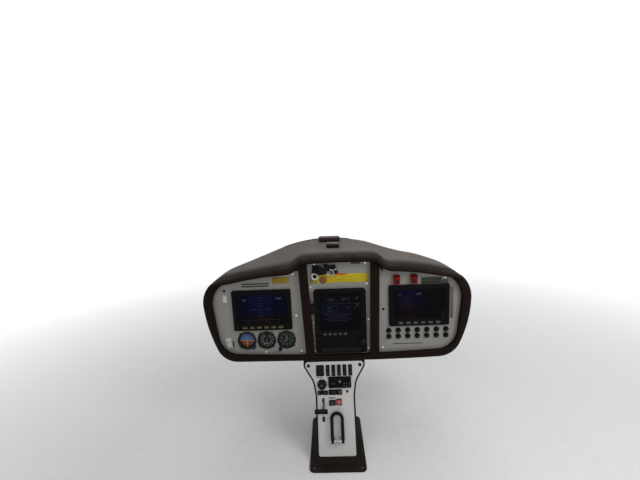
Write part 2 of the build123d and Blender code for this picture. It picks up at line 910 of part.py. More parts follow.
# Windows and square buttons on the console. Columns: x, distance down, width, height
windows = [(-36.5, 86.0, 31.0, 12.0), (0.7, 85.0, 40.0, 15.0)]
buttons = [(-9.0, 113.5, 19.0, 15.0), (10.5, 112.0, 16.0, 17.0)]


def make_console_tiles(table, proud):
    with BuildPart() as tiles:
        for x, s, width, height in table:
            seat = console_plane.offset(gap)
            bezel(seat, (x, -s), width, height, proud, 1.0, 0.6)
    return tiles.part


def lever_plane():
    """Square to the throttle's pin, x up the plate and y out of it."""
    pivot = console_plane.from_local_coords((lever_x, -lever_s, -lever_pivot))
    return Plane(origin=pivot, x_dir=console_plane.y_dir, z_dir=(1, 0, 0))


def make_lever_bracket():
    """Two cheeks behind the plate with the lever's pin through them."""
    cheek_off = lever_boss_l / 2 + cheek_clear + cheek_t / 2
    spots = [(lever_x + side * cheek_off, -lever_s) for side in (-1, 1)]
    with BuildPart() as bracket:
        behind = console_plane.offset(-plate_t - gap)
        block(behind, spots, cheek_t, cheek_w, plate_t - lever_pivot - 10)
        pin = lever_plane().offset(-cheek_off - cheek_t)
        stud(pin, [(0, 0)], lever_pin_d, 2 * (cheek_off + cheek_t))
    return bracket.part


def make_throttle_lever():
    """Blade on a boss, with a T bar across its top."""
    side = lever_plane()
    reach = lever_pivot + lever_out
    with BuildPart() as lever:
        stud(side.offset(-lever_boss_l / 2), [(0, 0)], lever_boss_d, lever_boss_l)
        block(side.offset(-lever_blade / 2), [(0, reach / 2)], lever_depth, reach, lever_blade)
        hole = side.offset(-lever_boss_l)
        hole_d = lever_pin_d + 2 * gap
        stud(hole, [(0, 0)], hole_d, 2 * lever_boss_l, mode=Mode.SUBTRACT)
        stud(side.offset(t_bar_left), [(0, reach)], t_bar_d, t_bar_l)
    return lever.part


def brake_pivot_plane():
    """Square to the brake lever's pin, x up the plate and y out of it."""
    origin = console_plane.from_local_coords((brake_x, -brake_pivot_s, brake_off))
    return Plane(origin=origin, x_dir=console_plane.y_dir, z_dir=(1, 0, 0))


def make_brake_lever():
    """Bent bar with an eye at each foot, over the ends of its pin."""
    leg_end = brake_pivot_s - brake_eye_d / 2 + 1
    shoulder = brake_top_s + brake_half + brake_d / 2
    bend = console_plane.from_local_coords((brake_x, -shoulder, brake_off))
    down_plate = Plane(origin=bend, x_dir=(1, 0, 0), z_dir=-console_plane.y_dir)
    legs = [(-brake_half, 0), (brake_half, 0)]
    with BuildPart() as lever:
        stud(down_plate, legs, brake_d, leg_end - shoulder, bar_sides)
        with BuildSketch(down_plate) as section:
            with Locations(legs[1]):
                RegularPolygon(brake_d / 2, bar_sides, major_radius=False)
        revolve(section.sketch, axis=Axis(bend, console_plane.z_dir), revolution_arc=180)
        for side in (-1, 1):
            eye = brake_pivot_plane().offset(side * brake_half - brake_d / 2)
            stud(eye, [(0, 0)], brake_eye_d, brake_d)
        hole_reach = brake_half + brake_d
        hole = brake_pivot_plane().offset(-hole_reach)
        hole_d = brake_pin_d + 2 * gap
        stud(hole, [(0, 0)], hole_d, 2 * hole_reach, mode=Mode.SUBTRACT)
    return lever.part


def make_brake_lugs():
    """Two lugs on the plate inside the hoop's feet, with the pin through them."""
    with BuildPart() as lugs:
        for side in (-1, 1):
            lug = brake_pivot_plane().offset(side * brake_lug_x - brake_lug_t / 2)
            stud(lug, [(0, 0)], brake_lug_d, brake_lug_t)
            foot = (0, (gap - brake_off) / 2)
            block(lug, [foot], brake_lug_d, brake_off - gap, brake_lug_t)
        pin_reach = brake_half + brake_d / 2 + 1.5
        pin = brake_pivot_plane().offset(-pin_reach)
        stud(pin, [(0, 0)], brake_pin_d, 2 * pin_reach)
    return lugs.part


makers = {
    "glareshield": make_glareshield,
    "head_shell": make_head_shell,
    "surround": make_surround,
    "panel_frame": make_panel_frame,
    "left_plate": lambda: make_side_plate(-1),
    "right_plate": lambda: make_side_plate(1),
    "centre_plate": make_centre_plate,
    "left_display_case": lambda: make_display_case(-1),
    "left_display_screen": lambda: make_display_screen(-1),
    "left_display_keys": lambda: make_display_keys(-1),
    "right_display_case": lambda: make_display_case(1),
    "right_display_screen": lambda: make_display_screen(1),
    "right_display_keys": lambda: make_display_keys(1),
    "centre_display_case": make_centre_case,
    "centre_display_screen": make_centre_screen,
    "centre_display_keys": make_centre_keys,
    "centre_display_knob": make_centre_knob,
    "centre_dock": make_centre_dock,
    "attitude_case": lambda: make_dial_case(0),
    "attitude_face": lambda: make_dial_face(0),
    "airspeed_case": lambda: make_dial_case(1),
    "airspeed_face": lambda: make_dial_face(1),
    "altimeter_case": lambda: make_dial_case(2),
    "altimeter_face": lambda: make_dial_face(2),
    "altimeter_knob": make_setting_knob,
    "panel_switch": make_panel_switch,
    "breakers": make_breakers,
    "switch_guard_bases": make_guard_bases,
    "guarded_toggles": make_toggles,
    "guard_left": lambda: make_guard(guards[0][1]),
    "guard_right": lambda: make_guard(guards[1][1]),
    "key_lock": make_key_lock,
    "key_tags": make_key_tags,
    "antenna_pucks": make_pucks,
    "pedestal_shell": make_pedestal_shell,
    "console_plate": make_console_plate,
    "rocker_switches": make_rockers,
    "flap_selector": make_flap_selector,
    "radio_unit": make_radio_unit,
    "radio_knobs": make_radio_knobs,
    "console_windows": lambda: make_console_tiles(windows, 2.0),
    "console_buttons": lambda: make_console_tiles(buttons, 5.0),
    "lever_bracket": make_lever_bracket,
    "throttle_lever": make_throttle_lever,
    "brake_lever": make_brake_lever,
    "brake_lever_lugs": make_brake_lugs,
}
for name, maker in makers.items():
    part = maker()
    save(part, name)
    print(name, len(part.solids()), round(part.volume))
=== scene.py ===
"""Looks of the instrument panel and its centre console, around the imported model."""

from math import atan2, cos, hypot, pi, radians, sin, sqrt

import bmesh
import bpy
from mathutils import Matrix, Vector


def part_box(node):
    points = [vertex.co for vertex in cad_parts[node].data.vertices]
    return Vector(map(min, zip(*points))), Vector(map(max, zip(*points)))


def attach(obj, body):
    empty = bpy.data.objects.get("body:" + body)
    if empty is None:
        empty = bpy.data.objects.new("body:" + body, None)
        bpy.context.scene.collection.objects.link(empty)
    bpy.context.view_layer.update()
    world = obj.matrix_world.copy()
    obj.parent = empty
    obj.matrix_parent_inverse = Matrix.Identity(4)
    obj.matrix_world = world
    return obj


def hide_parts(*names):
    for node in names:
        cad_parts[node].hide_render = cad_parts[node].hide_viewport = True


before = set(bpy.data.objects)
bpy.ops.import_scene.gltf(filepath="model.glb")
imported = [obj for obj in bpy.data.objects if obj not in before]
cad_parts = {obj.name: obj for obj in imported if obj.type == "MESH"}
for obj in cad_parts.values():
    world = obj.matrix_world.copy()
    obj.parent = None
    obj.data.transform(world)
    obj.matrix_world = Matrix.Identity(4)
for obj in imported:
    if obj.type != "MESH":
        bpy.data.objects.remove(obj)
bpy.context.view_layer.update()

mm = 0.001

# The panel's face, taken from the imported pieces: x right, y up, z out of the plates
unit_low, unit_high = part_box("centre_display_case")
plate_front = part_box("left_plate")[0].y
bay_x = (unit_low.x + unit_high.x) / 2
bay_z = (unit_low.z + unit_high.z) / 2
head_low, head_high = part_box("surround")
head_x = (head_low.x + head_high.x) / 2
panel = Matrix(((1, 0, 0, bay_x), (0, 0, -1, plate_front), (0, 1, 0, bay_z), (0, 0, 0, 1)))

# The console plate's face, with y up the plate from its top edge
console_lean = radians(20)
console_plate_t = 2.5 * mm
console_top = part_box("console_plate")[1]
console = Matrix((
    (1, 0, 0, 0),
    (0, sin(console_lean), -cos(console_lean), console_top.y - console_plate_t * cos(console_lean)),
    (0, cos(console_lean), sin(console_lean), console_top.z),
    (0, 0, 0, 1),
))

# Sizes that many pieces share, in millimetres
flush = 0.06              # height of what lies on a plate
film = 0.12               # edge radius of placards and labels
tip = 0.05                # radius of the point that ends a turned body
word_thick = 0.15
glass = 6.9               # marks on the two wide displays stand here
unit_glass = 12.9         # and on the middle one
dial_base = -2.15         # marks on the dial faces stand here
bevel_angle = 50          # edges sharper than this are rounded, in degrees


# Operators


def pick(*objects):
    """Make these the only selected objects, the first one active."""
    bpy.ops.object.select_all(action="DESELECT")
    for chosen in objects:
        chosen.select_set(True)
    bpy.context.view_layer.objects.active = objects[0]


def settle():
    """Put the active object's place and size into its mesh."""
    bpy.ops.object.transform_apply(location=True, rotation=True, scale=True)
    return bpy.context.object


def fresh(operator, **settings):
    """New object of one operator, settled."""
    bpy.ops.object.select_all(action="DESELECT")
    operator(**settings)
    return settle()


def edit(piece):
    pick(piece)
    bpy.ops.object.mode_set(mode="EDIT")
    return bmesh.from_edit_mesh(piece.data)


def leave(piece):
    bmesh.update_edit_mesh(piece.data)
    bpy.ops.object.mode_set(mode="OBJECT")


def leave_outward(piece):
    """Leave the edited mesh with all its faces turned outwards."""
    bmesh.update_edit_mesh(piece.data)
    bpy.ops.mesh.select_all(action="SELECT")
    bpy.ops.mesh.normals_make_consistent(inside=False)
    leave(piece)


def bevel(piece, width, segments=2, angle=bevel_angle):
    pick(piece)
    modifier = piece.modifiers.new("edges", "BEVEL")
    modifier.width = width * mm
    modifier.segments = segments
    modifier.limit_method = "ANGLE"
    modifier.angle_limit = radians(angle)
    bpy.ops.object.modifier_apply(modifier=modifier.name)


def smooth(piece, angle=35):
    pick(piece)
    bpy.ops.object.shade_smooth_by_angle(angle=radians(angle))
    return piece


def join(pieces):
    pick(*pieces)
    if len(pieces) > 1:
        bpy.ops.object.join()
    return pieces[0]


def shift(x, y, z=0):
    return Matrix.Translation((x * mm, y * mm, z * mm))


def copies(piece, moves):
    """The piece once for each matrix, as one."""
    twins = []
    for move in moves:
        twin = piece.copy()
        twin.data = piece.data.copy()
        bpy.context.collection.objects.link(twin)
        twin.data.transform(move)
        twins.append(twin)
    bpy.data.objects.remove(piece)
    return join(twins)


def repeated(piece, spots):
    """Copies of a piece at several places of its plane, as one."""
    return copies(piece, [shift(x, y) for x, y in spots])


def around(piece, x, y, *angles):
    """Copies of a piece turned clockwise about a point of its plane, as one."""
    turns = [Matrix.Rotation(radians(-angle), 4, "Z") for angle in angles]
    return copies(piece, [shift(x, y) @ turn @ shift(-x, -y) for turn in turns])


def place(piece, name, finish, plane=None, body="root", stands_for=None):
    """Set a piece, or several as one, down on its plane, and say what carries it."""
    if isinstance(piece, list):
        piece = join(piece)
    if plane:
        piece.matrix_world = plane
    pick(piece)
    settle()
    piece.name = name
    piece.data.name = name
    piece.data.materials.clear()
    piece.data.materials.append(finishes[finish])
    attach(piece, body)
    if stands_for:
        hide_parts(stands_for)


# Shapes


def slab(x, y, z, width, height, thick=0.1, edge=0.0, corner=0.0):
    """Rounded block whose back lies at height z of its plane, in millimetres."""
    piece = fresh(
        bpy.ops.mesh.primitive_cube_add, size=1,
        location=(x * mm, y * mm, (z + thick / 2) * mm),
        scale=(width * mm, height * mm, thick * mm),
    )
    if corner:
        shape = edit(piece)
        bpy.ops.mesh.select_all(action="DESELECT")
        for side in shape.edges:
            along = (side.verts[0].co - side.verts[1].co).normalized()
            side.select_set(abs(along.z) > 0.9)
        bpy.ops.mesh.bevel(offset=corner * mm, segments=4, affect="EDGES")
        leave(piece)
    if edge:
        bevel(piece, edge)
    return smooth(piece)


def blocks(*rows):
    """Rounded blocks, each from its x, y, z, width, height, thickness, edge and corner."""
    return [slab(*row) for row in rows]


def turned(x, y, profile, sides, flute=0.0):
    """Body turned about its plane's normal, from radius and height pairs in millimetres. A flute
    is how far every other flat of the middle pairs is drawn in."""
    radius, height = profile[0]
    piece = fresh(
        bpy.ops.mesh.primitive_circle_add, vertices=sides, radius=radius * mm,
        fill_type="NGON", location=(x * mm, y * mm, height * mm),
    )
    edit(piece)
    centre = Vector((x * mm, y * mm, 0))
    for number, (radius, height) in enumerate(profile[1:]):
        bpy.ops.mesh.extrude_region_move()
        shape = bmesh.from_edit_mesh(piece.data)
        for point in [vert for vert in shape.verts if vert.select]:
            arm = point.co - centre
            arm.z = 0
            spoke = round(atan2(arm.y, arm.x) / (2 * pi / sides)) % 2
            drawn = flute * spoke if number < len(profile) - 3 else 0
            reach = (radius - drawn) * mm
            point.co = centre + arm.normalized() * reach + Vector((0, 0, height * mm))
    leave_outward(piece)
    return smooth(piece)


def ring(x, y, z, radius, wire, sides=40):
    """Round wire ring lying on its plane."""
    piece = fresh(
        bpy.ops.mesh.primitive_torus_add, location=(x * mm, y * mm, z * mm),
        major_radius=radius * mm, minor_radius=wire * mm, major_segments=sides, minor_segments=12,
    )
    return smooth(piece, 60)


def words(body, x, y, z, size):
    """Raised numerals, centred on their place."""
    bpy.ops.object.select_all(action="DESELECT")
    bpy.ops.object.text_add(location=(x * mm, y * mm, (z + word_thick / 2) * mm))
    text = bpy.context.object.data
    text.body = body
    text.size = size * mm
    text.extrude = word_thick * mm / 2
    text.align_x = "CENTER"
    text.align_y = "CENTER"
    text.resolution_u = 3
    bpy.ops.object.convert(target="MESH")
    return settle()


def outline(points):
    """Closed loop of edges through the points, in edit mode."""
    circle = bpy.ops.mesh.primitive_circle_add
    piece = fresh(circle, vertices=len(points), radius=1, fill_type="NOTHING")
    shape = edit(piece)
    shape.verts.ensure_lookup_table()
    for vert, point in zip(shape.verts, points):
        vert.co = point
    bpy.ops.mesh.select_all(action="SELECT")
    return piece


def bridged(rings):
    """Skin through closed rings of points, its two ends filled."""
    piece = outline(rings[0])
    bpy.ops.mesh.edge_face_add()
    for points in rings[1:]:
        bpy.ops.mesh.extrude_region_move()
        shape = bmesh.from_edit_mesh(piece.data)
        loop = [face for face in shape.faces if face.select][0]
        for vert, point in zip(loop.verts, points):
            vert.co = point
        bmesh.update_edit_mesh(piece.data)
    leave_outward(piece)
    return piece


def spokes(sides):
    """Even angles once round."""
    return [2 * pi * number / sides for number in range(sides)]


def spun(x, y, profile, sides):
    """Closed ring turned about its plane's normal, from radius and height pairs."""
    piece = outline([Vector((x + radius, y, height)) * mm for radius, height in profile])
    bpy.ops.mesh.spin(steps=sides, angle=2 * pi, center=(x * mm, y * mm, 0), axis=(0, 0, 1))
    bpy.ops.mesh.select_all(action="SELECT")
    bpy.ops.mesh.remove_doubles(threshold=0.005 * mm)
    leave_outward(piece)
    return smooth(piece)


def rod(points, radius, sides):
    """Round bar along points that lie at one height of its plane, in millimetres."""
    rings = []
    for number, point in enumerate(points):
        before = Vector(points[max(number - 1, 0)])
        way = (Vector(points[min(number + 1, len(points) - 1)]) - before).normalized()
        across = Vector((0, 0, 1)).cross(way)
        rings.append([
            (Vector(point) + (across * cos(angle) + Vector((0, 0, sin(angle)))) * radius) * mm
            for angle in spokes(sides)
        ])
    return smooth(bridged(rings))


def softened(node, width):
    """Copy of a node's shape with its flats joined into faces and its edges rounded."""
    piece = bpy.data.objects.new(node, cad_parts[node].data.copy())
    bpy.context.collection.objects.link(piece)
    edit(piece)
    bpy.ops.mesh.select_all(action="SELECT")
    bpy.ops.mesh.remove_doubles(threshold=0.01 * mm)
    bpy.ops.mesh.dissolve_limited(angle_limit=radians(0.5))
    leave(piece)
    bevel(piece, width, 3, 30)
    return smooth(piece, 40)


# Materials


def sums(operation, swapped=False):
    """Method that adds a maths node over its own value and what it is given."""
    def method(self, *others):
        terms = (*others, self) if swapped else (self, *others)
        settings = {"operation": operation}
        return self.finish.node("ShaderNodeMath", settings, dict(enumerate(terms)))
    return method


class Value:
    """A socket whose sums are written as plain expressions."""

    def __init__(self, finish, socket):
        self.finish = finish
        self.socket = socket

    __add__, __radd__ = sums("ADD"), sums("ADD", True)
    __rsub__ = sums("SUBTRACT", True)
    __mul__, __rmul__ = sums("MULTIPLY"), sums("MULTIPLY", True)
    __pow__, __abs__ = sums("POWER"), sums("ABSOLUTE")
    __gt__, __lt__ = sums("GREATER_THAN"), sums("LESS_THAN")


class Nodes:
    """A node tree, with one way to add to it."""

    def __init__(self, tree):
        self.tree = tree

    def node(self, kind, settings=None, values=None, output=0):
        """One node: its settings first, then the values or links of its sockets."""
        made = self.tree.nodes.new(kind)
        for key, setting in (settings or {}).items():
            setattr(made, key, setting)
        for key, value in (values or {}).items():
            if isinstance(value, Value):
                self.tree.links.new(value.socket, made.inputs[key])
            else:
                made.inputs[key].default_value = value
        return Value(self, made.outputs[output])

    def seen(self):
        """1 for rays that come straight from the eye, off gloss or through glass."""
        ways = ["Is Camera Ray", "Is Glossy Ray", "Is Transmission Ray"]
        rays = [self.node("ShaderNodeLightPath", output=way) for way in ways]
        return self.node("ShaderNodeMath", {"operation": "MINIMUM"}, {0: sum(rays, 0), 1: 1.0})


class Finish(Nodes):
    """A material of procedural nodes around one shader."""

    def __init__(self, name, roughness, **sockets):
        self.material = bpy.data.materials.new(name)
        self.material.use_nodes = True
        super().__init__(self.material.node_tree)
        self.shader = self.tree.nodes["Principled BSDF"]
        for key, value in {"Roughness": roughness, **sockets}.items():
            self.shader.inputs[key.replace("_", " ")].default_value = value

    def feed(self, socket, value):
        self.tree.links.new(value.socket, self.shader.inputs[socket])

    def place(self, centre=None, turn=(0, 0, 0)):
        """Object coordinates, about a centre if there is one."""
        spot = self.node("ShaderNodeTexCoord", output="Object")
        if not centre:
            return spot
        moved = self.node("ShaderNodeVectorMath", {"operation": "SUBTRACT"}, {0: spot, 1: centre})
        return self.node("ShaderNodeMapping", values={"Vector": moved, "Rotation": turn})

    def axes(self, place):
        return [self.node("ShaderNodeSeparateXYZ", values={0: place}, output=key) for key in "XYZ"]

    def noise(self, size, detail=3, rough=0.5, place=None):
        """Noise whose cells are about size millimetres."""
        return self.node("ShaderNodeTexNoise", values={
            "Vector": place or self.place(), "Scale": 1 / (size * mm), "Detail": detail,
            "Roughness": rough,
        })

    def cells(self, size):
        values = {"Vector": self.place(), "Scale": 1 / (size * mm)}
        return self.node("ShaderNodeTexVoronoi", values=values)

    def span(self, value, low, high):
        """Share of the way from low to high."""
        values = {"Value": value, "From Min": low, "From Max": high}
        return self.node("ShaderNodeMapRange", values=values)

    def mix(self, share, first, second):
        """Colour between two colours."""
        values = {0: share, 6: first, 7: second}
        for key in (6, 7):
            if isinstance(values[key], tuple):
                values[key] = (*values[key], 1)
        return self.node("ShaderNodeMix", {"data_type": "RGBA"}, values, output=2)

    def surface(self, shade, roughness, height, depth):
        """Feed the shader its colour, its roughness and a relief some millimetres deep."""
        values = {"Height": height, "Distance": depth * mm, "Strength": 1.0}
        self.feed("Base Color", shade)
        self.feed("Roughness", roughness)
        self.feed("Normal", self.node("ShaderNodeBump", values=values))
        return self.material


def shaded(colour, share):
    return tuple(share * part for part in colour)


def moulded(name, colour, dusty, grain, depth, roughness, gloss, edge=None):
    """Grained moulding: fine pebbles, slow changes of tone and rubbed gloss. The hood's is
    given painted shade that darkens it towards its rolled front edge."""
    finish = Finish(name, roughness, Specular_IOR_Level=gloss)
    pebbles = finish.cells(grain)
    fine = finish.noise(grain / 2, 2)
    cloud = finish.span(finish.noise(45, 4, 0.6), 0.35, 0.7)
    shade = finish.mix(cloud * 0.6, colour, dusty)
    shade = finish.mix(finish.span(pebbles, 0.35, 0.75) * 0.5, shade, shaded(colour, 0.6))
    # Painted shade: over the last 60 mm before the lip the colour runs to the edge colour, standing
    # in for the shade on the rolled lip
    if edge:
        _, forward, _ = finish.axes(finish.place((0, plate_front, 0)))
        front = finish.span(forward + 0.008 * cloud, 60 * mm, 2 * mm)
        shade = finish.mix(front**1.5, shade, edge)
    rubbed = roughness - 0.12 + 0.2 * cloud + 0.08 * fine
    return finish.surface(shade, rubbed, 0.7 * (1 - pebbles) + 0.3 * fine, depth)


def flecked_paint(name, colour, fleck, dark_fleck):
    """Light paint with fine flecks, a little worn and stained."""
    finish = Finish(name, 0.42, Metallic=0.15)
    specks = finish.noise(0.9, 2)
    coarse = finish.noise(2.2, 3)
    cloud = finish.span(finish.noise(60, 4, 0.6), 0.3, 0.75)
    shade = finish.mix(cloud * 0.5, colour, shaded(colour, 0.86))
    shade = finish.mix(finish.span(specks, 0.58, 0.7) * 0.55, shade, dark_fleck)
    shade = finish.mix(finish.span(coarse, 0.62, 0.72) * 0.5, shade, fleck)
    return finish.surface(shade, 0.34 + 0.16 * coarse, specks + 0.5 * coarse, 0.05)


def plastic(name, colour, roughness, gloss=0.16, worn=None):
    """Smooth moulded plastic with a faint texture and handling wear."""
    finish = Finish(name, roughness, Specular_IOR_Level=gloss)
    fine = finish.noise(0.35, 2)
    cloud = finish.span(finish.noise(14, 4, 0.65), 0.4, 0.72)
    worn = worn or tuple(1.4 * part + 0.004 for part in colour)
    rubbed = roughness - 0.06 + 0.14 * cloud + 0.06 * fine
    return finish.surface(finish.mix(cloud * 0.5, colour, worn), rubbed, fine, 0.03)


def metal(name, colour, roughness):
    """Turned or brushed metal with fine lines and dull patches."""
    finish = Finish(name, roughness, Metallic=1.0)
    stretched = finish.node("ShaderNodeVectorMath", {"operation": "MULTIPLY"},
                            {0: finish.place(), 1: (1, 1, 12)})
    lines = finish.noise(1.2, 3, place=stretched)
    patches = finish.span(finish.noise(8, 3), 0.35, 0.7)
    shade = finish.mix(patches * 0.5, colour, shaded(colour, 0.7))
    return finish.surface(shade, roughness + 0.18 * patches + 0.1 * lines, lines, 0.02)


def printed(name, colour, faded):
    """Printed film: even colour with rubbed and faded places."""
    finish = Finish(name, 0.5, Specular_IOR_Level=0.35)
    rubbed = finish.span(finish.noise(7, 5, 0.7), 0.45, 0.75)
    shade = finish.mix(rubbed * 0.6, colour, faded)
    return finish.surface(shade, 0.4 + 0.2 * rubbed, finish.noise(0.8, 2), 0.02)


def lit(name, colour, strength=0.8):
    """Lit mark behind glass, a little uneven."""
    finish = Finish(name, 0.25, Emission_Strength=strength)
    uneven = finish.span(finish.noise(5, 2), 0.3, 0.7)
    shade = finish.mix(uneven, shaded(colour, 0.7), colour)
    finish.feed("Base Color", shade)
    finish.feed("Emission Color", shade)
    return finish.material


def field_screen(name, *fields):
    """Dark glass over soft-edged lit fields. Each has its left, right, lower and upper edge from
    the middle bay's middle, the width of its soft edge, and its colour."""
    finish = Finish(name, 0.12, Specular_IOR_Level=0.04, Emission_Strength=1.0,
                    Base_Color=(0.0015, 0.0015, 0.0018, 1))
    across, _, up = finish.axes(finish.place((bay_x, 0, bay_z)))
    glow = 0.75 + 0.25 * finish.span(finish.noise(24, 3), 0.3, 0.7)
    shade = finish.mix(glow, (0.0004, 0.0004, 0.0006), (0.0010, 0.0010, 0.0014))
    for left, right, low, high, soft, colour in fields:
        share = glow
        for axis, line, rim in (
            (across, left, soft), (across, right, -soft), (up, low, soft), (up, high, -soft),
        ):
            share = share * finish.span(axis, (line - rim) * mm, (line + rim) * mm)
        shade = finish.mix(share, shade, colour)
    finish.feed("Emission Color", shade)
    finish.feed("Roughness", 0.08 + 0.12 * finish.noise(9, 3))
    return finish.material


def attitude_card(name, x, y):
    """Ball of an attitude dial: sky above, earth below, a pale line between."""
    finish = Finish(name, 0.35)
    middle = (bay_x + x * mm, plate_front, bay_z + y * mm)
    _, _, up = finish.axes(finish.place(middle, (0, radians(-4), 0)))
    rubbed = finish.noise(4, 3)
    sky = finish.mix(finish.span(up, 0.0, 20 * mm), (0.042, 0.115, 0.260), (0.022, 0.074, 0.210))
    earth = finish.mix(finish.span(up, -20 * mm, 0.0), (0.090, 0.013, 0.009), (0.180, 0.026, 0.016))
    shade = finish.mix(up > 0.0, earth, sky)
    shade = finish.mix(abs(up) < 0.5 * mm, shade, (0.36, 0.36, 0.36))
    return finish.surface(shade, 0.3 + 0.15 * rubbed, rubbed, 0.02)


finishes = {}
dial_spots = {"attitude": (-284, -56), "airspeed": (-224, -56), "altimeter": (-164, -56)}


def stock(kind, rows):
    """Make finishes of one kind. Columns: name, then what the kind asks for"""
    for name, *facts in rows:
        finishes[name] = kind(name, *facts)


# Columns: colour, dusty colour, grain, depth of grain, roughness, gloss, colour of the painted
# shade on the hood's rolled lip
stock(moulded, [
    ("hood_skin", (0.104, 0.088, 0.076), (0.138, 0.120, 0.105), 0.9, 0.12, 0.72, 0.1,
     (0.008, 0.004, 0.002)),
    ("dark_moulding", (0.011, 0.007, 0.006), (0.020, 0.014, 0.012), 0.9, 0.12, 0.6, 0.1),
    ("trim_skin", (0.009, 0.005, 0.0035), (0.018, 0.011, 0.008), 1.0, 0.14, 0.6, 0.06),
])
# Columns: colour, light fleck, dark fleck
stock(flecked_paint, [
    ("grey_paint", (0.285, 0.278, 0.262), (0.40, 0.392, 0.375), (0.17, 0.165, 0.155)),
    ("pale_paint", (0.58, 0.575, 0.565), (0.72, 0.715, 0.70), (0.38, 0.375, 0.37)),
])
# Columns: colour, roughness, gloss, worn colour
stock(plastic, [
    ("bezel_black", (0.0028, 0.0028, 0.003), 0.55, 0.06),
    ("soft_black", (0.005, 0.0045, 0.0045), 0.55, 0.1),
    ("key_rubber", (0.052, 0.049, 0.045), 0.6, 0.16, (0.085, 0.081, 0.074)),
    ("key_warm", (0.088, 0.064, 0.036), 0.6, 0.16, (0.130, 0.100, 0.060)),
    ("can_black", (0.007, 0.007, 0.007), 0.45),
    ("dial_black", (0.006, 0.006, 0.006), 0.6),
    ("dial_green", (0.004, 0.011, 0.007), 0.6),
    ("guard_red", (0.22, 0.002, 0.005), 0.5, 0.1, (0.28, 0.008, 0.010)),
    ("dock_grey", (0.010, 0.010, 0.011), 0.55, 0.08),
    ("puck_grey", (0.030, 0.021, 0.018), 0.55, 0.12),
    ("window_dark", (0.0035, 0.0022, 0.0022), 0.3, 0.08),
    ("lever_black", (0.0045, 0.0045, 0.0045), 0.45, 0.1),
    ("breaker_black", (0.0045, 0.004, 0.004), 0.5, 0.1),
    ("knob_grey", (0.19, 0.19, 0.185), 0.5),
    ("knob_blue", (0.010, 0.012, 0.035), 0.4),
    ("switch_pale", (0.46, 0.45, 0.43), 0.5),
    ("ring_white", (0.62, 0.61, 0.58), 0.35),
])
# Columns: colour, roughness
stock(metal, [
    ("bright_metal", (0.78, 0.77, 0.74), 0.28),
    ("dull_steel", (0.42, 0.42, 0.42), 0.42),
])
# Columns: colour, faded colour
stock(printed, [
    ("label_green", (0.022, 0.028, 0.020), (0.050, 0.056, 0.046)),
    ("label_grey", (0.085, 0.088, 0.080), (0.060, 0.064, 0.058)),
    ("label_tan", (0.105, 0.088, 0.068), (0.150, 0.130, 0.106)),
    ("label_white", (0.62, 0.62, 0.60), (0.50, 0.50, 0.48)),
    ("label_lilac", (0.055, 0.042, 0.075), (0.11, 0.09, 0.13)),
    ("label_dark", (0.020, 0.018, 0.017), (0.045, 0.042, 0.038)),
    ("placard_yellow", (0.54, 0.42, 0.005), (0.49, 0.38, 0.02)),
    ("placard_ochre", (0.29, 0.190, 0.005), (0.25, 0.170, 0.02)),
    ("placard_red", (0.52, 0.080, 0.010), (0.56, 0.16, 0.03)),
    ("tag_brown", (0.20, 0.066, 0.010), (0.27, 0.12, 0.03)),
    ("tag_green", (0.22, 0.22, 0.018), (0.30, 0.29, 0.05)),
    ("white_mark", (0.44, 0.44, 0.43), (0.36, 0.36, 0.35)),
    ("grey_mark", (0.16, 0.16, 0.155), (0.22, 0.22, 0.21)),
])
# Columns: colour, strength where it isn't the usual one
stock(lit, [
    ("window_purple", (0.0075, 0.0035, 0.0115)),
    ("screen_white", (0.036, 0.046, 0.110)),
    ("screen_blue", (0.0016, 0.0028, 0.016)),
    ("screen_grey", (0.008, 0.009, 0.014)),
    ("screen_smoke", (0.026, 0.027, 0.048)),
    ("screen_faint", (0.0018, 0.0020, 0.0060)),
    ("screen_amber", (0.016, 0.007, 0.004)),
    ("button_red", (0.27, 0.002, 0.006), 0.4),
    ("ice_white", (0.46, 0.27, 0.26), 0.4),
])
# Columns: the screen's lit fields
stock(field_screen, [
    ("left_screen",
     (-300, -156, 26, 92, 10, (0.0005, 0.0006, 0.0075)),
     (-262, -206, 26, 92, 12, (0.0008, 0.0018, 0.019)),
     (-258, -208, -8, 22, 10, (0.0048, 0.0018, 0.0014))),
    ("right_screen",
     (170, 240, 42, 96, 12, (0.0012, 0.0008, 0.012)),
     (176, 220, -4, 42, 10, (0.0034, 0.0010, 0.0026))),
    ("centre_screen",
     (-52, 34, 0, 78, 12, (0.0012, 0.0014, 0.0050)),
     (-52, -6, 28, 50, 7, (0.0016, 0.0022, 0.010))),
])
stock(attitude_card, [("attitude_ball", *dial_spots["attitude"])])


# Nodes that keep their own shape


def dress(node, finish):
    """Give a node's own object one finish."""
    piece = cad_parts[node]
    for slot in piece.material_slots:
        slot.link = "OBJECT"
        slot.material = finishes[finish]
    if not piece.material_slots:
        piece.data.materials.append(finishes[finish])


dress("panel_frame", "dark_moulding")
dress("lever_bracket", "dull_steel")
for side in ("left", "right", "centre"):
    dress(side + "_plate", "grey_paint")
    dress(side + "_display_screen", side + "_screen")


hood_overhang = 6.3       # how far the hood stands out past the surround, in millimetres
head_half = (head_high.x - head_low.x) / 2 / mm + hood_overhang
# Head outline, in millimetres. Columns: x from the head's axis, height over the display's
# middle, 1 where x is from the middle bay
head_stations = [
    (0.0, 203.0, 1),
    (98.0, 201.0, 1),
    (128.0, 186.0, 1),
    (158.0, 171.0, 1),
    (head_half - 65, 147.0, 0),
    (head_half, 60.0, 0),
    (head_half - 31, -78.0, 0),
    (head_half - 90, -118.0, 0),
    (0.0, -122.0, 0),
]
bay_shift = (bay_x - head_x) / mm
arc_steps = 10


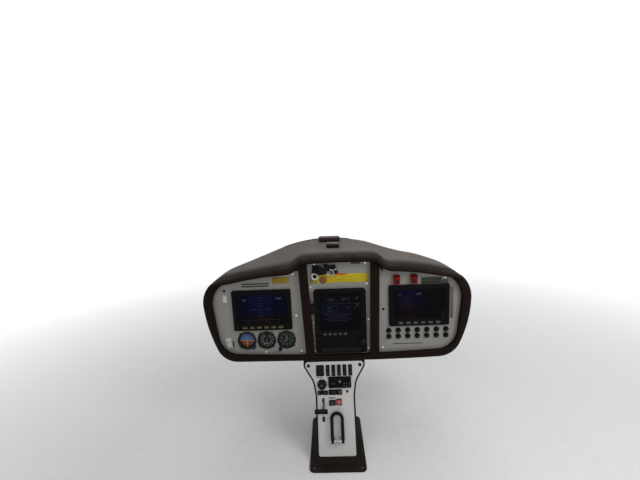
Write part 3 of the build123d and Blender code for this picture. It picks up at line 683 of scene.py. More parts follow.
def side_line(side):
    """Points along tangent arcs through the stations of one side, from the top down."""
    points = []
    heading = 0.0
    stations = [(side * x + bay_shift * (follows - 1), z) for x, z, follows in head_stations]
    for (x0, z0), (x1, z1) in zip(stations, stations[1:]):
        chord = hypot(x1 - x0, z1 - z0)
        turn = 2 * (atan2(z1 - z0, side * (x1 - x0)) - heading)
        for step in range(arc_steps):
            share = step / arc_steps
            bend = share * turn / 2
            reach = chord * (sin(bend) / sin(turn / 2) if abs(turn) > 1e-6 else share)
            points.append((
                x0 + side * reach * cos(heading + bend), z0 + reach * sin(heading + bend),
            ))
        heading += turn
    return points + [stations[-1]]


def between(start, end, share):
    return tuple(low + share * (high - low) for low, high in zip(start, end))


def spaced(line, count):
    """The line again as evenly spaced points."""
    lengths = [0.0]
    for (x0, z0), (x1, z1) in zip(line, line[1:]):
        lengths.append(lengths[-1] + hypot(x1 - x0, z1 - z0))
    points = []
    spot = 0
    for number in range(count):
        goal = lengths[-1] * number / (count - 1)
        while spot < len(line) - 2 and lengths[spot + 1] < goal:
            spot += 1
        share = (goal - lengths[spot]) / (lengths[spot + 1] - lengths[spot])
        points.append(between(line[spot], line[spot + 1], share))
    return points


def upper_line(parting):
    """Head outline over the parting height, from left to right."""
    whole = side_line(-1)[::-1] + side_line(1)[1:]
    upper = []
    for start, end in zip(whole, whole[1:]):
        if (start[1] > parting) != (end[1] > parting):
            upper.append(between(start, end, (parting - start[1]) / (end[1] - start[1])))
        if end[1] > parting:
            upper.append(end)
    return upper


def normals(line):
    """Outward unit normals along a line that runs left to right over the top."""
    made = []
    for number in range(len(line)):
        before = line[max(number - 1, 0)]
        after = line[min(number + 1, len(line) - 1)]
        dx, dz = after[0] - before[0], after[1] - before[1]
        length = hypot(dx, dz)
        made.append((-dz / length, dx / length))
    return made


# Glareshield, in millimetres forward of the panel plane
hood_reach = 270.0
hood_lip = -30.0
hood_radius = 417.0
hood_parting = 125.0
hood_wall = 3.4
wall_start = -14.0        # from here on the skin has its plain wall
lip_roll = 5.5            # radius of the soft edge
lip_droop = 11.0          # how far the skin dips to the soft edge
lip_least = 0.15          # share of that at the parting height
lip_grow = 26.0           # height over the parting where the droop is full
lip_blend = 58.0          # depth over which the skin dips
lip_crowding = 1.3        # over 1, the rows of faces stand closer near the lip
hump_fade = 14.0          # how far the front hump sinks towards the crown
hump_start = 10.0
hump_run = 190.0
hump_foot = 160.0         # the hump is what stands over this height
hump_height = 35.0
crown_top = 209.0
crown_rise = 30.0
crown_radius = 700.0
crown_shift = -35.0       # crown's middle from the middle bay's
crown_blend = 16.0        # width of the soft hollow where the crown leaves the hood
level_normal = 0.4        # skin whose normal leans out further rises less
puck_line = 203.0         # outline's height under the pucks
bead_line = 180.0         # and under the bead
hood_sections = 121
hood_depths = 16
roll_steps = 6


def clamped(value):
    return min(max(value, 0), 1)


def ahead(x, y, z):
    """Place from x and height off the middle bay's middle and y forward, in millimetres."""
    return Vector((bay_x + x * mm, plate_front + y * mm, bay_z + z * mm))


def hood_edge(x):
    """How far forward the hood reaches at x from the middle bay."""
    return hood_reach - hood_radius + sqrt(max(hood_radius**2 - (x + bay_shift) ** 2, 0))


def skin_height(x, y, z):
    """Height of the hood over the outline's height z, at x from the middle bay and y forward: the
    larger of the sinking hump and the inclined crown, blended where they are close."""
    share = clamped((y - hump_start) / hump_run)
    hump = z - hump_fade * share**2 * (3 - 2 * share) * clamped((z - hump_foot) / hump_height)
    drop = crown_rise * (hood_reach - y) / (hood_reach - hood_lip)
    sag = crown_radius - sqrt(max(crown_radius**2 - (x - crown_shift) ** 2, 0))
    crown = crown_top - drop - sag
    apart = max(crown_blend - abs(hump - crown), 0.0)
    return max(hump, crown) + apart**2 / (4 * crown_blend)


def make_hood():
    """One smooth moulded skin from the rolled lip to the forward edge."""
    line = spaced(upper_line(hood_parting), hood_sections)
    start = hood_lip + lip_roll
    rings = []
    for (x, z), (nx, nz) in zip(line, normals(line)):
        outer, roll, inner = [], [], []
        grown = min((z - hood_parting) / lip_grow, 1)
        sink = lip_droop * (lip_least + (1 - lip_least) * grown)
        for number in range(hood_depths + 1):
            y = start + (hood_edge(x) - start) * (number / hood_depths) ** lip_crowding
            droop = sink * clamped(1 - (y - hood_lip) / lip_blend) ** 2
            rise = (skin_height(x, y, z) - z) * clamped(nz / level_normal)
            wall = hood_wall if y > wall_start else sink + 2 * lip_roll - droop
            for side, depth in ((outer, droop), (inner, droop + wall)):
                side.append(ahead(x - nx * depth, y, z - nz * depth + rise))
        for step in range(1, roll_steps):
            angle = pi * step / roll_steps
            depth = sink + lip_roll * (1 - cos(angle))
            y = hood_lip + lip_roll * (1 - sin(angle))
            roll.append(ahead(x - nx * depth, y, z - nz * depth))
        rings.append(outer[::-1] + roll + inner)
    place(smooth(bridged(rings), 45), "glareshield_skin", "hood_skin", stands_for="glareshield")


def make_rear_bead():
    """Dark sealing bead along the crown's forward edge."""
    radius, sides, step = 1.6, 8, 8
    left, right, inset, lift = -190, 50, 3, 0.4
    rings = []
    for x in range(left, right + 1, step):
        y = hood_edge(x) - inset
        z = skin_height(x, y, bead_line) + lift
        rings.append([
            ahead(x, y + radius * cos(angle), z + radius * sin(angle)) for angle in spokes(sides)
        ])
    place(smooth(bridged(rings), 50), "crown_bead", "soft_black")


def make_pucks():
    """Low antenna domes on the skin. Columns: name, finish, x, y, width, depth, replaced node"""
    rows = [
        ("rear_puck", "puck_grey", -24, 224, 76, 30, "antenna_pucks"),
        ("front_puck", "can_black", -13, 126, 43, 28, None),
    ]
    lean = Matrix.Rotation(atan2(crown_rise, hood_reach - hood_lip), 4, "X")
    gap, rounding, inset = 0.8, 6.0, 7
    for name, finish, x, y, width, depth, node in rows:
        dome = slab(0, 0, gap, width, depth, 15.0, 0, 12)
        bevel(dome, rounding, 5)
        foot = slab(0, 0, 0.1, width - inset, depth - inset, 2.4, 0.6, 8)
        side = Matrix.Rotation(atan2(x - crown_shift, crown_radius), 4, "Y")
        seat = Matrix.Translation(ahead(x, y, skin_height(x, y, puck_line))) @ lean @ side
        place(smooth(dome, 50), name, finish, seat, stands_for=node)
        place(foot, name + "_foot", "soft_black", seat)


make_hood()
make_rear_bead()
make_pucks()


moving = {"guard_left": "guard_left", "guard_right": "guard_right", "throttle_lever": "throttle"}
# Nodes whose own shape is kept and whose edges are rounded. Columns: finish, radius in
# millimetres, nodes
for finish, radius, *nodes in [
    ("dark_moulding", 2.0, "head_shell"),
    ("dark_moulding", 1.6, "pedestal_shell"),
    ("trim_skin", 4.0, "surround"),
    ("pale_paint", 0.5, "console_plate"),
    ("bezel_black", 0.8, "left_display_case", "right_display_case"),
    ("bezel_black", 1.0, "centre_display_case"),
    ("bezel_black", 0.6, "radio_unit"),
    ("key_warm", 0.5, "left_display_keys"),
    ("key_rubber", 0.5, "right_display_keys", "centre_display_keys"),
    ("dock_grey", 0.5, "centre_dock"),
    ("switch_pale", 0.4, "panel_switch"),
    ("guard_red", 0.3, "switch_guard_bases"),
    ("guard_red", 0.4, "guard_left", "guard_right"),
    ("soft_black", 0.4, "rocker_switches"),
    ("window_dark", 0.4, "console_windows"),
    ("lever_black", 0.5, "throttle_lever"),
    ("dull_steel", 0.5, "brake_lever_lugs"),
    ("bright_metal", 0.2, "guarded_toggles"),
]:
    for node in nodes:
        body = moving.get(node, "root")
        place(softened(node, radius), node + "_shape", finish, body=body, stands_for=node)


def set_blocks(plane, rows):
    """Pieces made of rounded blocks. Columns: name, finish, then the blocks"""
    for name, finish, *parts in rows:
        place(blocks(*parts), name, finish, plane)


def set_turned(plane, rows):
    """Turned pieces. Columns: name, finish, replaced node, x, y, profile, sides, flute"""
    for name, finish, node, *facts in rows:
        place(turned(*facts), name, finish, plane, stands_for=node)


def set_words(plane, rows):
    """Joined numerals. Columns: name, finish, height, then each word's x, y, size and text"""
    for name, finish, z, *parts in rows:
        place([words(body, x, y, z, size) for x, y, size, body in parts], name, finish, plane)


# Panel face: places are x from the middle bay, y over its middle, z off the plates


# Bare placards, labels and tabs, with printed rules where the words would be
set_blocks(panel, [
    ("left_placard", "placard_ochre", (-170, 128.5, flush, 51, 19, 0.5, film, 1.5)),
    ("left_strip_upper", "label_dark", (-247, 120, flush, 82, 4.2, 0.4, film, 0.6)),
    ("left_strip_lower", "label_dark", (-247, 113, flush, 82, 4.2, 0.4, film, 0.6)),
    ("left_label", "label_white", (-341, 77, flush, 12, 22, 0.4, film, 1.0)),
    ("switch_label", "label_white", (-341, -63, flush, 15, 32, 0.24, film, 2.0)),
    ("centre_placard", "placard_yellow", (2, 128.5, flush, 170, 26, 0.5, film, 1.5)),
    ("centre_stripe", "placard_red", (7, 140.8, 0.56, 31, 5.6, 0.3, film, 0.6)),
    ("centre_label", "label_lilac", (50, 173, flush, 28, 7, 0.4, film, 1.0)),
    ("right_label", "label_green", (267, 112.5, flush, 58, 19, 0.5, film, 1.0)),
    ("right_label_end", "label_grey", (306.5, 108, flush, 19, 11, 0.5, film, 1.0)),
    ("right_strip", "label_tan", (327, 44, flush, 9, 96, 0.3, film, 1.0)),
    ("breaker_strip", "label_dark", (199, -80, flush, 88, 2.4, 0.3, film, 0.6)),
    ("card_tab", "soft_black", (-80, 39.5, flush, 13, 27, 15.5, film, 1.5)),
    ("placard_rules", "placard_ochre", *[(x, y, 0.58, width, 1.3) for x, y, width in (
        (-180, 132.5, 22), (-157, 132.5, 16), (-174, 125.0, 30), (-20, 133.0, 34), (22, 133.0, 38),
        (62, 133.0, 28), (-28, 125.5, 20), (6, 125.5, 32), (48, 125.5, 40), (14, 119.0, 60),
    )]),
])


def make_screws():
    """Button-headed screws with a socket. Columns: name, finish, plane, profile, places"""
    head = [(3.6, flush), (3.6, 0.9), (2.9, 1.9), (1.8, 2.1), (1.6, 1.0), (tip, 1.0)]
    slim = [(0.7 * radius, height) for radius, height in head]
    ear = [(4.8, flush), (4.8, 1.2), (3.8, 2.4), (2.3, 2.6), (2.1, 1.2), (tip, 1.2)]
    low = [(3.6, flush), (3.6, 0.9), (2.8, 1.8), (1.6, 1.9), (1.5, 0.8), (tip, 0.8)]
    rows = [
        ("panel_screws", "bright_metal", panel, head, [
            (-134, 146), (-130, 19), (-228, -94), (-120, -94), (124, -90), (306, 120.5),
            (-70, 172), (77, 172), (81, 110), (-84.5, 104), (84, 0), (82, -90),
        ]),
        ("slim_screws", "bright_metal", panel, slim, [(-79.8, -6), (-78.9, -72), (-78.7, -95)]),
        ("dark_screws", "can_black", panel, head, [(-340, 102), (128, 30), (126, 150)]),
        ("ear_screws", "can_black", console, ear, [(-77, -10.5), (77, -10.5)]),
        ("console_screw", "can_black", console, low, [(35.5, -84)]),
    ]
    for name, finish, plane, profile, spots in rows:
        place(repeated(turned(0, 0, profile, 24), spots), name, finish, plane)


def make_dial_cases():
    """Turned cans with a rounded bezel and a window, on four lugs with screws."""
    can = [
        (24.7, -61.7), (24.7, 0.3), (28, 0.3), (28, 2.8), (26.8, 4.1), (24.9, 4.3), (23.7, 3.4),
        (23.5, -3.7), (tip, -3.7),
    ]
    corners = [(side, end) for end in (1, -1) for side in (1, -1)]
    for name, (x, y) in dial_spots.items():
        place(turned(x, y, can, 64), name + "_can", "can_black", panel, stands_for=name + "_case")
        lug = slab(x, y, flush, 7, 7, 1.4, 0.3, 2.0)
        head = turned(x, y, [(1.9, 1.5), (1.9, 2.1), (1.4, 2.5), (tip, 2.6)], 16)
        for piece, reach, suffix, finish in (
            (lug, 21, "_lugs", "soft_black"), (head, 22.4, "_screws", "dull_steel"),
        ):
            spots = [(reach * side, reach * end) for side, end in corners]
            place(repeated(piece, spots), name + suffix, finish, panel)


def dial_ticks(x, y, angles, inner, outer, width, height=dial_base):
    """Marks round a dial, at angles clockwise from the top."""
    tick = slab(x, y + (inner + outer) / 2, height, width, outer - inner, 0.2)
    return around(tick, x, y, *angles)


def dial_numbers(x, y, numbers, first, step, radius, size):
    """Upright numerals round a dial."""
    angles = [radians(first + step * spot) for spot in range(len(numbers))]
    return [
        words(str(number), x + radius * sin(angle), y + radius * cos(angle), dial_base, size)
        for number, angle in zip(numbers, angles)
    ]


def pointer(x, y, angle, length, name, width=1.7, lift=0.0):
    """Tapered hand with a tail and a boss."""
    hand = slab(x, y + length / 2 - 2, dial_base + 0.9 + lift, width, length + 4, 0.4, 0.08)
    for vert in edit(hand).verts:
        if vert.co.y > (y + length / 2) * mm:
            vert.co.x += (x * mm - vert.co.x) * 0.75
    leave(hand)
    place(around(hand, x, y, angle), name + "_hand", "white_mark", panel)
    if not lift:
        boss = turned(x, y, [(2.6, dial_base), (2.6, -0.7), (2.0, -0.2), (tip, -0.1)], 24)
        place(boss, name + "_boss", "can_black", panel)


def make_dial_faces():
    """Dials with numerals. Columns: name, finish, fine ticks' angles, inner radius and width, bold
    ticks' angles, inner radius and width, numerals, first angle, step, radius, size"""
    face = [(23.2, -3.64), (23.2, -2.7), (22.7, -2.2), (tip, -2.2)]
    rows = [
        ("airspeed", "dial_black", range(30, 331, 10), 18.5, 0.5, range(30, 331, 30), 17.0, 1.0,
         range(40, 241, 20), 30, 30, 13.4, 4.4),
        ("altimeter", "dial_green", [7.2 * step for step in range(50)], 19.5, 0.4,
         range(0, 360, 36), 17.6, 0.9, range(10), 0, 36, 14.2, 4.8),
    ]
    for name, finish, fine, fine_in, fine_wide, bold, bold_in, bold_wide, *numbers in rows:
        x, y = dial_spots[name]
        set_turned(panel, [(name + "_card", finish, name + "_face", x, y, face, 64)])
        marks = [
            dial_ticks(x, y, fine, fine_in, 21.5, fine_wide),
            dial_ticks(x, y, bold, bold_in, 21.5, bold_wide), *dial_numbers(x, y, *numbers),
        ]
        place(marks, name + "_marks", "white_mark", panel)
    x, y = dial_spots["altimeter"]
    window = slab(x + 7.5, y - 0.2, dial_base - 0.02, 9, 4.4, 0.1, 0, 0.4)
    place(window, "altimeter_window", "label_dark", panel)
    pointer(x, y, 3, 17.0, "altimeter")
    pointer(x, y, 232, 9.5, "altimeter_short", 2.6, 0.4)
    pointer(*dial_spots["airspeed"], 184, 15.5, "airspeed")


def make_attitude():
    """Ball, roll scale and the small aircraft in front of it."""
    x, y = dial_spots["attitude"]
    ball = [(23.2, -3.64), (23.2, -3.0), (20, -2.4), (15, -1.7), (10, -1.2), (5, -0.9), (tip, -0.8)]
    knob = [(5.5, flush), (5.5, 4.5), (5.2, 9), (4.4, 9.8), (tip, 10)]
    set_turned(panel, [
        ("attitude_ball", "attitude_ball", "attitude_face", x, y, ball, 64),
        ("attitude_knob", "knob_blue", None, x + 20, y - 20, knob, 32, 0.35),
    ])
    rim = spun(x, y, [(23.4, -2.4), (23.4, -0.6), (21.7, -0.9), (21.5, -2.0)], 64)
    place(rim, "roll_ring", "can_black", panel)
    roll = [-60, -45, -30, -20, -10, 0, 10, 20, 30, 45, 60]
    place(dial_ticks(x, y, roll, 21.8, 23.2, 0.6, -0.8), "roll_marks", "white_mark", panel)
    set_blocks(panel, [
        ("attitude_wings", "placard_yellow",
         (x - 8.5, y, -0.3, 8, 1.3, 0.5, 0.1), (x + 8.5, y, -0.3, 8, 1.3, 0.5, 0.1),
         (x, y, -0.3, 2, 2, 0.5, 0.1, 0.5), (x, y - 12, -0.3, 1.2, 22, 0.4, 0.1)),
        ("attitude_ladder", "white_mark", *[
            (x, y + step * 5.0, -0.85, 9 - 3 * (step % 2), 0.5, 0.2) for step in (-2, -1, 1, 2)]),
    ])


def make_panel_knobs():
    """Fluted knobs. Columns: name, x, y, foot, boss radius, radius, height, replaced node"""
    rows = [
        ("altimeter_setting", -184, -84, 0.3, 6.0, 5.0, 11.0, "altimeter_knob"),
        ("unit_knob", 63.5, -61, 11.3, 4.7, 9.0, 13.3, "centre_display_knob"),
    ]
    for name, x, y, foot, boss, radius, height, node in rows:
        top = foot + height
        profile = [
            (boss, foot), (boss, foot + 3.2), (radius, foot + 3.4), (radius, top - 1.5),
            (radius - 0.4, top - 0.6), (radius - 1.6, top), (tip, top - 0.3),
        ]
        set_turned(panel, [(name, "soft_black", node, x, y, profile, 48, 0.4)])
        dot = slab(x, y + radius * 0.55, top - 0.25, 0.8, radius * 0.6, 0.4, 0.1)
        place(dot, name + "_mark", "grey_mark", panel)


def make_breakers():
    """Push-pull breakers: threaded collar, flats and a numbered button."""
    spots = [(143 + 28 * column, row) for row in (-37.5, -56) for column in range(7)]
    collar = turned(
        0, 0, [(8.0, 0.3), (8.0, 2.3), (7.4, 3.2), (5.0, 3.3), (4.9, 2.4), (tip, 2.4)], 24)
    button = turned(0, 0, [(4.6, 2.5), (4.6, 8.2), (4.1, 9.1), (2.6, 9.3), (tip, 9.2)], 24)
    place(repeated(join([collar, button]), spots), "breaker_row", "breaker_black", panel,
          stands_for="breakers")
    ratings = [5, 5, 10, 3, 2, 5, 15, 10, 5, 3, 5, 2, 10, 5]
    numbers = [(x, y, 3.6, str(rating)) for rating, (x, y) in zip(ratings, spots)]
    set_words(panel, [("breaker_numbers", "grey_mark", 9.3, *numbers)])


def make_key_bunch():
    """Lock with its key turned in, split ring, fobs and tags beside it."""
    barrel = [(10, 0.3), (10, 4.6), (9.2, 6.1), (6.4, 6.3), (6.2, 5.4), (tip, 5.4)]
    disc = [(5.8, 1.8), (5.8, 3.0), (5.2, 3.5), (tip, 3.5)]
    set_turned(panel, [
        ("lock_barrel", "bright_metal", "key_lock", -46, 158, barrel, 48),
        ("tag_ring_middle", "soft_black", None, -70, 137, disc, 32),
    ])
    for name, finish, *facts in [
        ("key_ring", "dull_steel", -24, 147.5, 7.4, 9.6, 1.7),
        ("tag_ring", "ring_white", -70, 137, 4.3, 8.4, 2.5),
        ("key_link", "dull_steel", -37, 153, 11.0, 4.2, 0.7, 24),
    ]:
        place(ring(*facts), name, finish, panel)
    brown = spun(
        -46.5, 125, [(11, 0.6), (11, 1.8), (10.4, 2.2), (1.2, 2.2), (1.0, 1.8), (1.0, 0.6)], 40)
    place(brown, "brown_tag", "tag_brown", panel, stands_for="key_tags")
    fobs = [
        ("key_blade", "bright_metal", 0, (-46, 158, 5.5, 2.2, 8, 11, 0.2)),
        ("key_bow", "soft_black", 0, (-46, 158, 16.3, 26, 20, 4, 1.2, 6)),
        ("long_fob", "soft_black", -18, (-14, 156, 1.0, 17, 27, 4.5, 1.0, 5.0)),
        ("round_fob", "soft_black", 12, (-67, 158, 1.0, 20, 24, 5.5, 1.0, 7.0)),
        ("small_fob", "soft_black", 30, (-34, 163, 6.2, 20, 17, 4.0, 1.0, 5.0)),
        ("flat_fob", "soft_black", -8, (-52, 148, 1.0, 26, 14, 4.5, 1.0, 4.0)),
        ("green_tag", "tag_green", 10, (-73, 125, 0.66, 21, 17, 1.0, 0.3, 4.0)),
    ]
    for name, finish, angle, block in fobs:
        place(around(slab(*block), *block[:2], angle), name, finish, panel)
    stud = [(3.0, 5.5), (3.0, 6.1), (2.4, 6.6), (tip, 6.7)]
    studs = repeated(turned(0, 0, stud, 24), [(-56, 151), (-9, 157)])
    place(studs, "fob_studs", "dull_steel", panel)


def make_graphics():
    """Figures, scales and rules behind the glass of the three displays."""
    set_words(panel, [
        ("left_readouts", "screen_white", glass, (-281, 73, 9, "96"), (-181, 76, 9, "1450")),
        ("right_readouts", "screen_smoke", glass, (174, 75, 8, "112"), (229, 75, 8, "2400")),
        ("unit_figures", "screen_grey", unit_glass,
         (-28, 68, 11, "118.5"), (16, 69, 11, "121.9"), (50, 71, 10, "07")),
    ])
    footer = [("29.9", -276), ("12", -250), ("0.8", -212), ("57", -184)]
    footer = [words(number, x, 4, glass, 5) for number, x in footer]
    place(footer + blocks((-234, 11, glass, 120, 0.5)), "left_footer", "screen_grey", panel)
    steps = range(5)
    set_blocks(panel, [
        ("left_scales", "screen_blue",
         *[(x, 16 + 7.6 * step, glass, 5 if step % 2 else 2.5, 0.5)
           for x in (-266, -200) for step in range(11)],
         *[(-234, 26 + 9 * step, glass, 22 - 8 * (step % 2), 0.6) for step in range(7)],
         (-256, 44, glass, 12, 1.2), (-212, 44, glass, 12, 1.2)),
        ("right_scales", "screen_faint",
         *[(193, 34 + 8 * step, glass, 34 - 6 * (step % 3), 0.6) for step in steps],
         *[(303, 18 - 5 * step, glass, 17 - 4 * (step % 2), 0.8) for step in steps]),
    ])
    blue = [("24.6", -30, 43), ("1013", -30, 33), ("85", 24, 43)]
    blue = [words(number, x, y, unit_glass, 8) for number, x, y in blue]
    blue += blocks(
        (-29, 29, unit_glass, 42, 0.5), (-29, 49, unit_glass, 42, 0.5),
        (-50, 39, unit_glass, 0.5, 20), (-8, 39, unit_glass, 0.5, 20),
        *[(-8, 24 - 5 * step, unit_glass, 78 - 18 * (step % 3), 0.7) for step in steps],
    )
    place(blue, "unit_rows", "screen_blue", panel)
    course = join(blocks((51, 50, unit_glass, 1, 26), (51, 50, unit_glass, 14, 1)))
    rule = slab(4, 56, unit_glass, 106, 0.5)
    place([around(course, 51, 50, 48), rule], "unit_course", "screen_grey", panel)


make_screws()
make_dial_cases()
make_dial_faces()
make_attitude()
make_panel_knobs()
make_breakers()
make_key_bunch()
make_graphics()
set_blocks(panel, [
    # Small keys down the middle unit's left bezel, and marks on the keys
    ("unit_side_keys", "dock_grey", *[
        (-69, y, 14.35, 5, 8, 1.2, 0.4, 1.0) for y in (-12, -26, -54, -70)]),
    ("unit_key_marks", "screen_white", *[
        (-17 + 15 * step, -37, 15.9, 4.5, 0.8) for step in (-2, -1, 0, 1, 2)]),
    ("display_key_marks", "grey_mark", *[
        (middle + 21.5 * (step - 2.5), -12, 9.9, 8, 1.0)
        for middle in (-231, 231) for step in range(6)]),
    # Pale paddle of the panel switch, and on its right a dark block that is painted shade, standing
    # in for the shade beside the switch
    ("panel_switch_paddle", "ring_white", (-337, -66, 5.4, 6, 11, 3.5, 1.0, 1.5)),
    ("panel_switch_painted_shade", "soft_black", (-326.6, -66, flush, 2.6, 21, 3.0, 0.4, 0.6)),
])

# Dark window and slots down the front of the two guards
for side, x in (("left", 166), ("right", 216)):
    marks = blocks(
        (x, 116.5, 13.26, 9.0, 12.0, 0.2, 0.05, 2.8),
        *[(x + way, 105.5, 13.26, 3.2, 4.6, 0.2, 0.05, 0.8) for way in (-3.2, 3.2)],
    )
    place(marks, side + "_guard_slots", "can_black", panel, "guard_" + side)


# Console face: places are x from its middle, y up the plate from its top edge, z off it


def make_rocker_marks():
    """On and off signs on the rockers."""
    marks = []
    for x in (-42.5, -19.5, -2.8, 13.9, 30.6, 47.3):
        marks += [slab(x, -17.5, 6.32, 0.9, 4.2, 0.12), ring(x, -31.5, 6.34, 1.8, 0.35, 20)]
    place(marks, "rocker_marks", "label_grey", console)


def make_flap_selector():
    """Black ring, pale centre and a pointer towards the lower right."""
    x, y = -38, -63
    base = [(14, 0.3), (14, 5.2), (13.2, 6.3), (9.6, 6.3), (9.4, 5.4), (tip, 5.4)]
    cap = [(8.8, 5.5), (8.8, 11.8), (8.0, 13.4), (tip, 14.0)]
    hub = [(2.7, 17.3), (2.7, 18.1), (2.2, 18.5), (tip, 18.5)]
    set_turned(console, [
        ("flap_dial", "soft_black", "flap_selector", x, y, base, 48),
        ("flap_cap", "can_black", None, x, y, cap, 40, 0.3),
        ("flap_hub", "label_grey", None, x, y + 0.5, hub, 24),
    ])
    grip = around(slab(x, y + 4, 13.0, 4.4, 20, 4.5, 0.9, 1.8), x, y, 176)
    place(grip, "flap_pointer", "soft_black", console)
    ticks = around(slab(x, y + 11.6, 6.34, 0.9, 2.6, 0.12), x, y, -120, -60, 0, 60, 120)
    place(ticks, "flap_marks", "white_mark", console)


def make_radio_knobs():
    knobs = []
    for x, y, radius, height in [(14.5, -54, 3.5, 9.0), (40, -49, 3.0, 5.0), (-10, -49, 3.0, 5.0)]:
        foot, top = 6.6, 6.6 + height
        knobs.append(turned(x, y, [
            (radius, foot), (radius, foot + 1.2), (0.86 * radius, foot + 1.4),
            (0.84 * radius, top - 0.5), (0.7 * radius, top), (tip, top - 0.2),
        ], 32, 0.15))
    place(knobs[0], "radio_tuner", "knob_grey", console, stands_for="radio_knobs")
    place(knobs[1:], "radio_side_knobs", "soft_black", console)


def make_console_buttons():
    """Dark square cap in its frame, and the pale ring on the lit red button beside it."""
    dark = blocks(
        (-9, -113.5, 0.3, 19, 15, 3.0, 0.5, 1.0), (-9, -113.5, 3.4, 15.5, 11.5, 1.8, 0.6, 1.2),
    )
    place(dark, "dark_button", "soft_black", console, stands_for="console_buttons")
    icon = [ring(10.5, -112, 5.28, 3.4, 0.5, 24), slab(10.5, -109.3, 5.22, 0.9, 3.6, 0.12)]
    place(icon, "red_button_icon", "ice_white", console)


def lying(y, z):
    """Plane across the console, square to its x axis at a point over the plate."""
    return console @ shift(0, y, z) @ Matrix.Rotation(radians(90), 4, "Y")


def make_levers():
    """Grip over the T bar, and the hoop with its eyes."""
    across = lying(-128, 30)
    grip = turned(0, 0, [
        (5.0, -59.0), (6.4, -57.5), (6.5, -52), (6.2, -41.5), (6.2, -39.5), (6.5, -31),
        (6.4, -25.5), (5.2, -23.2), (tip, -23.0),
    ], 40)
    place(grip, "throttle_grip", "lever_black", across, "throttle")
    cap = turned(0, 0, [
        (tip, -64.0), (2.6, -63.6), (4.3, -62.2), (4.8, -60.4), (4.4, -59.1), (tip, -59.1),
    ], 32)
    place(cap, "throttle_end", "ring_white", across, "throttle")
    left, right, height = -13, 17, 12
    middle, radius, arch = (left + right) / 2, (right - left) / 2, -153.5
    path = [(left, y, height) for y in (-208, -190, -170)]
    for step in range(21):
        angle = pi * step / 20
        path.append((middle - radius * cos(angle), arch + radius * sin(angle), height))
    path += [(right, y, height) for y in (-170, -190, -208)]
    hoop = rod(path, 4.8, 20)
    place(hoop, "brake_hoop", "lever_black", console, "brake", stands_for="brake_lever")
    eye = [(2.8, -3.5), (5.1, -3.5), (5.5, -3.1), (5.5, 3.1), (5.1, 3.5), (2.8, 3.5)]
    eyes = [
        spun(0, 0, [(radius, x + height) for radius, height in eye], 32) for x in (left, right)
    ]
    place(eyes, "brake_eyes", "lever_black", lying(-212, height), "brake")


make_rocker_marks()
make_flap_selector()
make_radio_knobs()
make_console_buttons()
make_levers()
radio_keys = [(x, y) for x in (27.5, 35, 42.5) for y in (-60, -67)]
set_blocks(console, [
    ("rocker_labels", "label_dark", (-42.5, -44, flush, 18, 1.2, 0.15), *[
        (-19.5 + 16.7 * step, -44, flush, 9, 1.2, 0.15) for step in range(5)]),
    ("radio_window", "window_dark", (-6.5, -60.5, 6.35, 22, 12, 0.5, 0.15, 1.0)),
    ("radio_keys", "dock_grey", *[(x, y, 6.35, 5.5, 4.2, 1.4, 0.4, 1.0) for x, y in radio_keys],
     *[(x, -47, 6.35, 5, 3, 1.2, 0.3, 0.8) for x in (0, 25.5, 31.5)]),
    ("radio_key_marks", "white_mark", *[(x, y, 7.8, 2.6, 0.6, 0.08) for x, y in radio_keys]),
    ("window_marks", "screen_grey", (-48, -86, 2.35, 3.5, 5, 0.1, 0, 0.5),
     (-29, -86, 2.35, 2.2, 5, 0.1, 0, 0.5), (-38.5, -88.5, 2.35, 9, 0.9)),
    ("window_end", "window_purple", (15, -85, 2.35, 9, 10, 0.15, 0, 1)),
    ("console_rule", "label_dark", (-10, -101, flush, 20, 2.6, 0.25, 0, 0.8)),
    ("dark_button_lines", "grey_mark", *[
        (-9, -113.5 + 3 * step, 5.26, 9 - 2 * abs(step), 0.8) for step in (-1, 0, 1)]),
    ("red_button_frame", "soft_black", (10.5, -112, 0.3, 16, 17, 3.0, 0.5, 1.0)),
    ("red_button_cap", "button_red", (10.5, -112, 3.4, 13, 14, 1.8, 0.6, 1.2)),
])
set_words(console, [
    ("radio_figures", "screen_amber", 6.88, (-6.5, -60.5, 6.5, "122.8")),
    ("window_figures", "screen_amber", 2.36, (-4, -85, 6.5, "24.5")),
])


# Camera, floor and light


camera_spot = (2 * mm, -859 * mm, 768 * mm)
camera_pitch = radians(8.7)
camera_yaw = radians(-1.8)
camera_roll = radians(-2.6)
camera_lens = 17.5
camera_width = 36


def hang(name, data, spot, turn):
    """Object of a camera's or a lamp's data, at its place."""
    made = bpy.data.objects.new(name, data)
    bpy.context.collection.objects.link(made)
    made.matrix_world = Matrix.Translation(spot) @ turn
    return made


def make_camera():
    """Camera with the photograph's view of the panel and its console."""
    data = bpy.data.cameras.new("photo_camera")
    data.lens = camera_lens
    data.sensor_width = camera_width
    data.clip_start = 0.01
    pan = Matrix.Rotation(-camera_yaw, 4, "Z")
    tilt = Matrix.Rotation(pi / 2 - camera_pitch, 4, "X")
    roll = Matrix.Rotation(camera_roll, 4, "Z")
    bpy.context.scene.camera = hang("photo_camera", data, camera_spot, pan @ tilt @ roll)


floor_radius = 9
floor_inner = 6           # width of the rim outside the floor's middle face
fade_start = 0.7
fade_end = 2.2


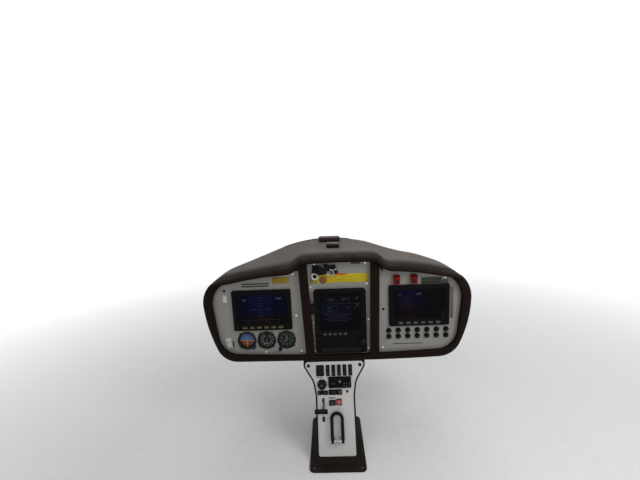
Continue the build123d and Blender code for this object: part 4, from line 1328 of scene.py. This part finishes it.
def make_floor():
    """Pale floor that keeps the shadow and fades to white away from it."""
    circle = bpy.ops.mesh.primitive_circle_add
    floor = fresh(circle, vertices=96, radius=floor_radius, fill_type="NGON")
    edit(floor)
    bpy.ops.mesh.inset(thickness=floor_inner)
    leave(floor)
    finish = Finish("floor_paper", 0.9, Specular_IOR_Level=0.1)
    tone = finish.span(finish.noise(25, 3), 0.3, 0.7)
    finish.feed("Base Color", finish.mix(tone, (0.80, 0.80, 0.79), (0.83, 0.83, 0.82)))
    across, forward, _ = finish.axes(finish.place())
    away = finish.span((across * across + forward * forward) ** 0.5, fade_start, fade_end)
    glow = finish.node("ShaderNodeEmission")
    blend = finish.node("ShaderNodeMixShader", values={0: away * finish.seen()})
    links = finish.tree.links
    mixer = blend.socket.node
    links.new(finish.shader.outputs[0], mixer.inputs[1])
    links.new(glow.socket, mixer.inputs[2])
    links.new(blend.socket, finish.tree.nodes["Material Output"].inputs[0])
    floor.name = "floor"
    floor.data.materials.append(finish.material)


# Area lamps. Columns: name, place, aim, width, height, watts, colour
lamps = [
    ("sky_lamp", (0.1, 0.3, 2.6), (0, 0.1, 0.4), 2.4, 2.0, 22, (0.96, 0.98, 1.0)),
    ("front_lamp", (-0.9, -1.8, 2.5), (0, 0, 0.4), 1.6, 1.6, 9, (1.0, 0.98, 0.95)),
    ("side_lamp", (0.8, -0.6, 1.05), (0.25, 0, 0.5), 0.5, 0.5, 5.5, (1.0, 0.99, 0.97)),
    ("rear_lamp", (0.3, 2.0, 1.9), (0, 0.2, 0.5), 1.8, 1.2, 9, (0.97, 0.98, 1.0)),
]
room_light = 0.26


def make_lights():
    for name, spot, aim, width, height, watts, colour in lamps:
        data = bpy.data.lights.new(name, "AREA")
        data.shape = "RECTANGLE"
        data.size = width
        data.size_y = height
        data.energy = watts
        data.color = colour
        way = Vector(aim) - Vector(spot)
        hang(name, data, spot, way.to_track_quat("-Z", "Y").to_matrix().to_4x4())
    world = bpy.data.worlds.new("studio")
    world.use_nodes = True
    sky = Nodes(world.node_tree)
    strength = room_light + (1 - room_light) * sky.seen()
    background = sky.tree.nodes["Background"]
    background.inputs["Color"].default_value = (1, 1, 1, 1)
    sky.tree.links.new(strength.socket, background.inputs["Strength"])
    bpy.context.scene.world = world


make_camera()
make_floor()
make_lights()
bpy.context.scene.view_settings.view_transform = "Standard"
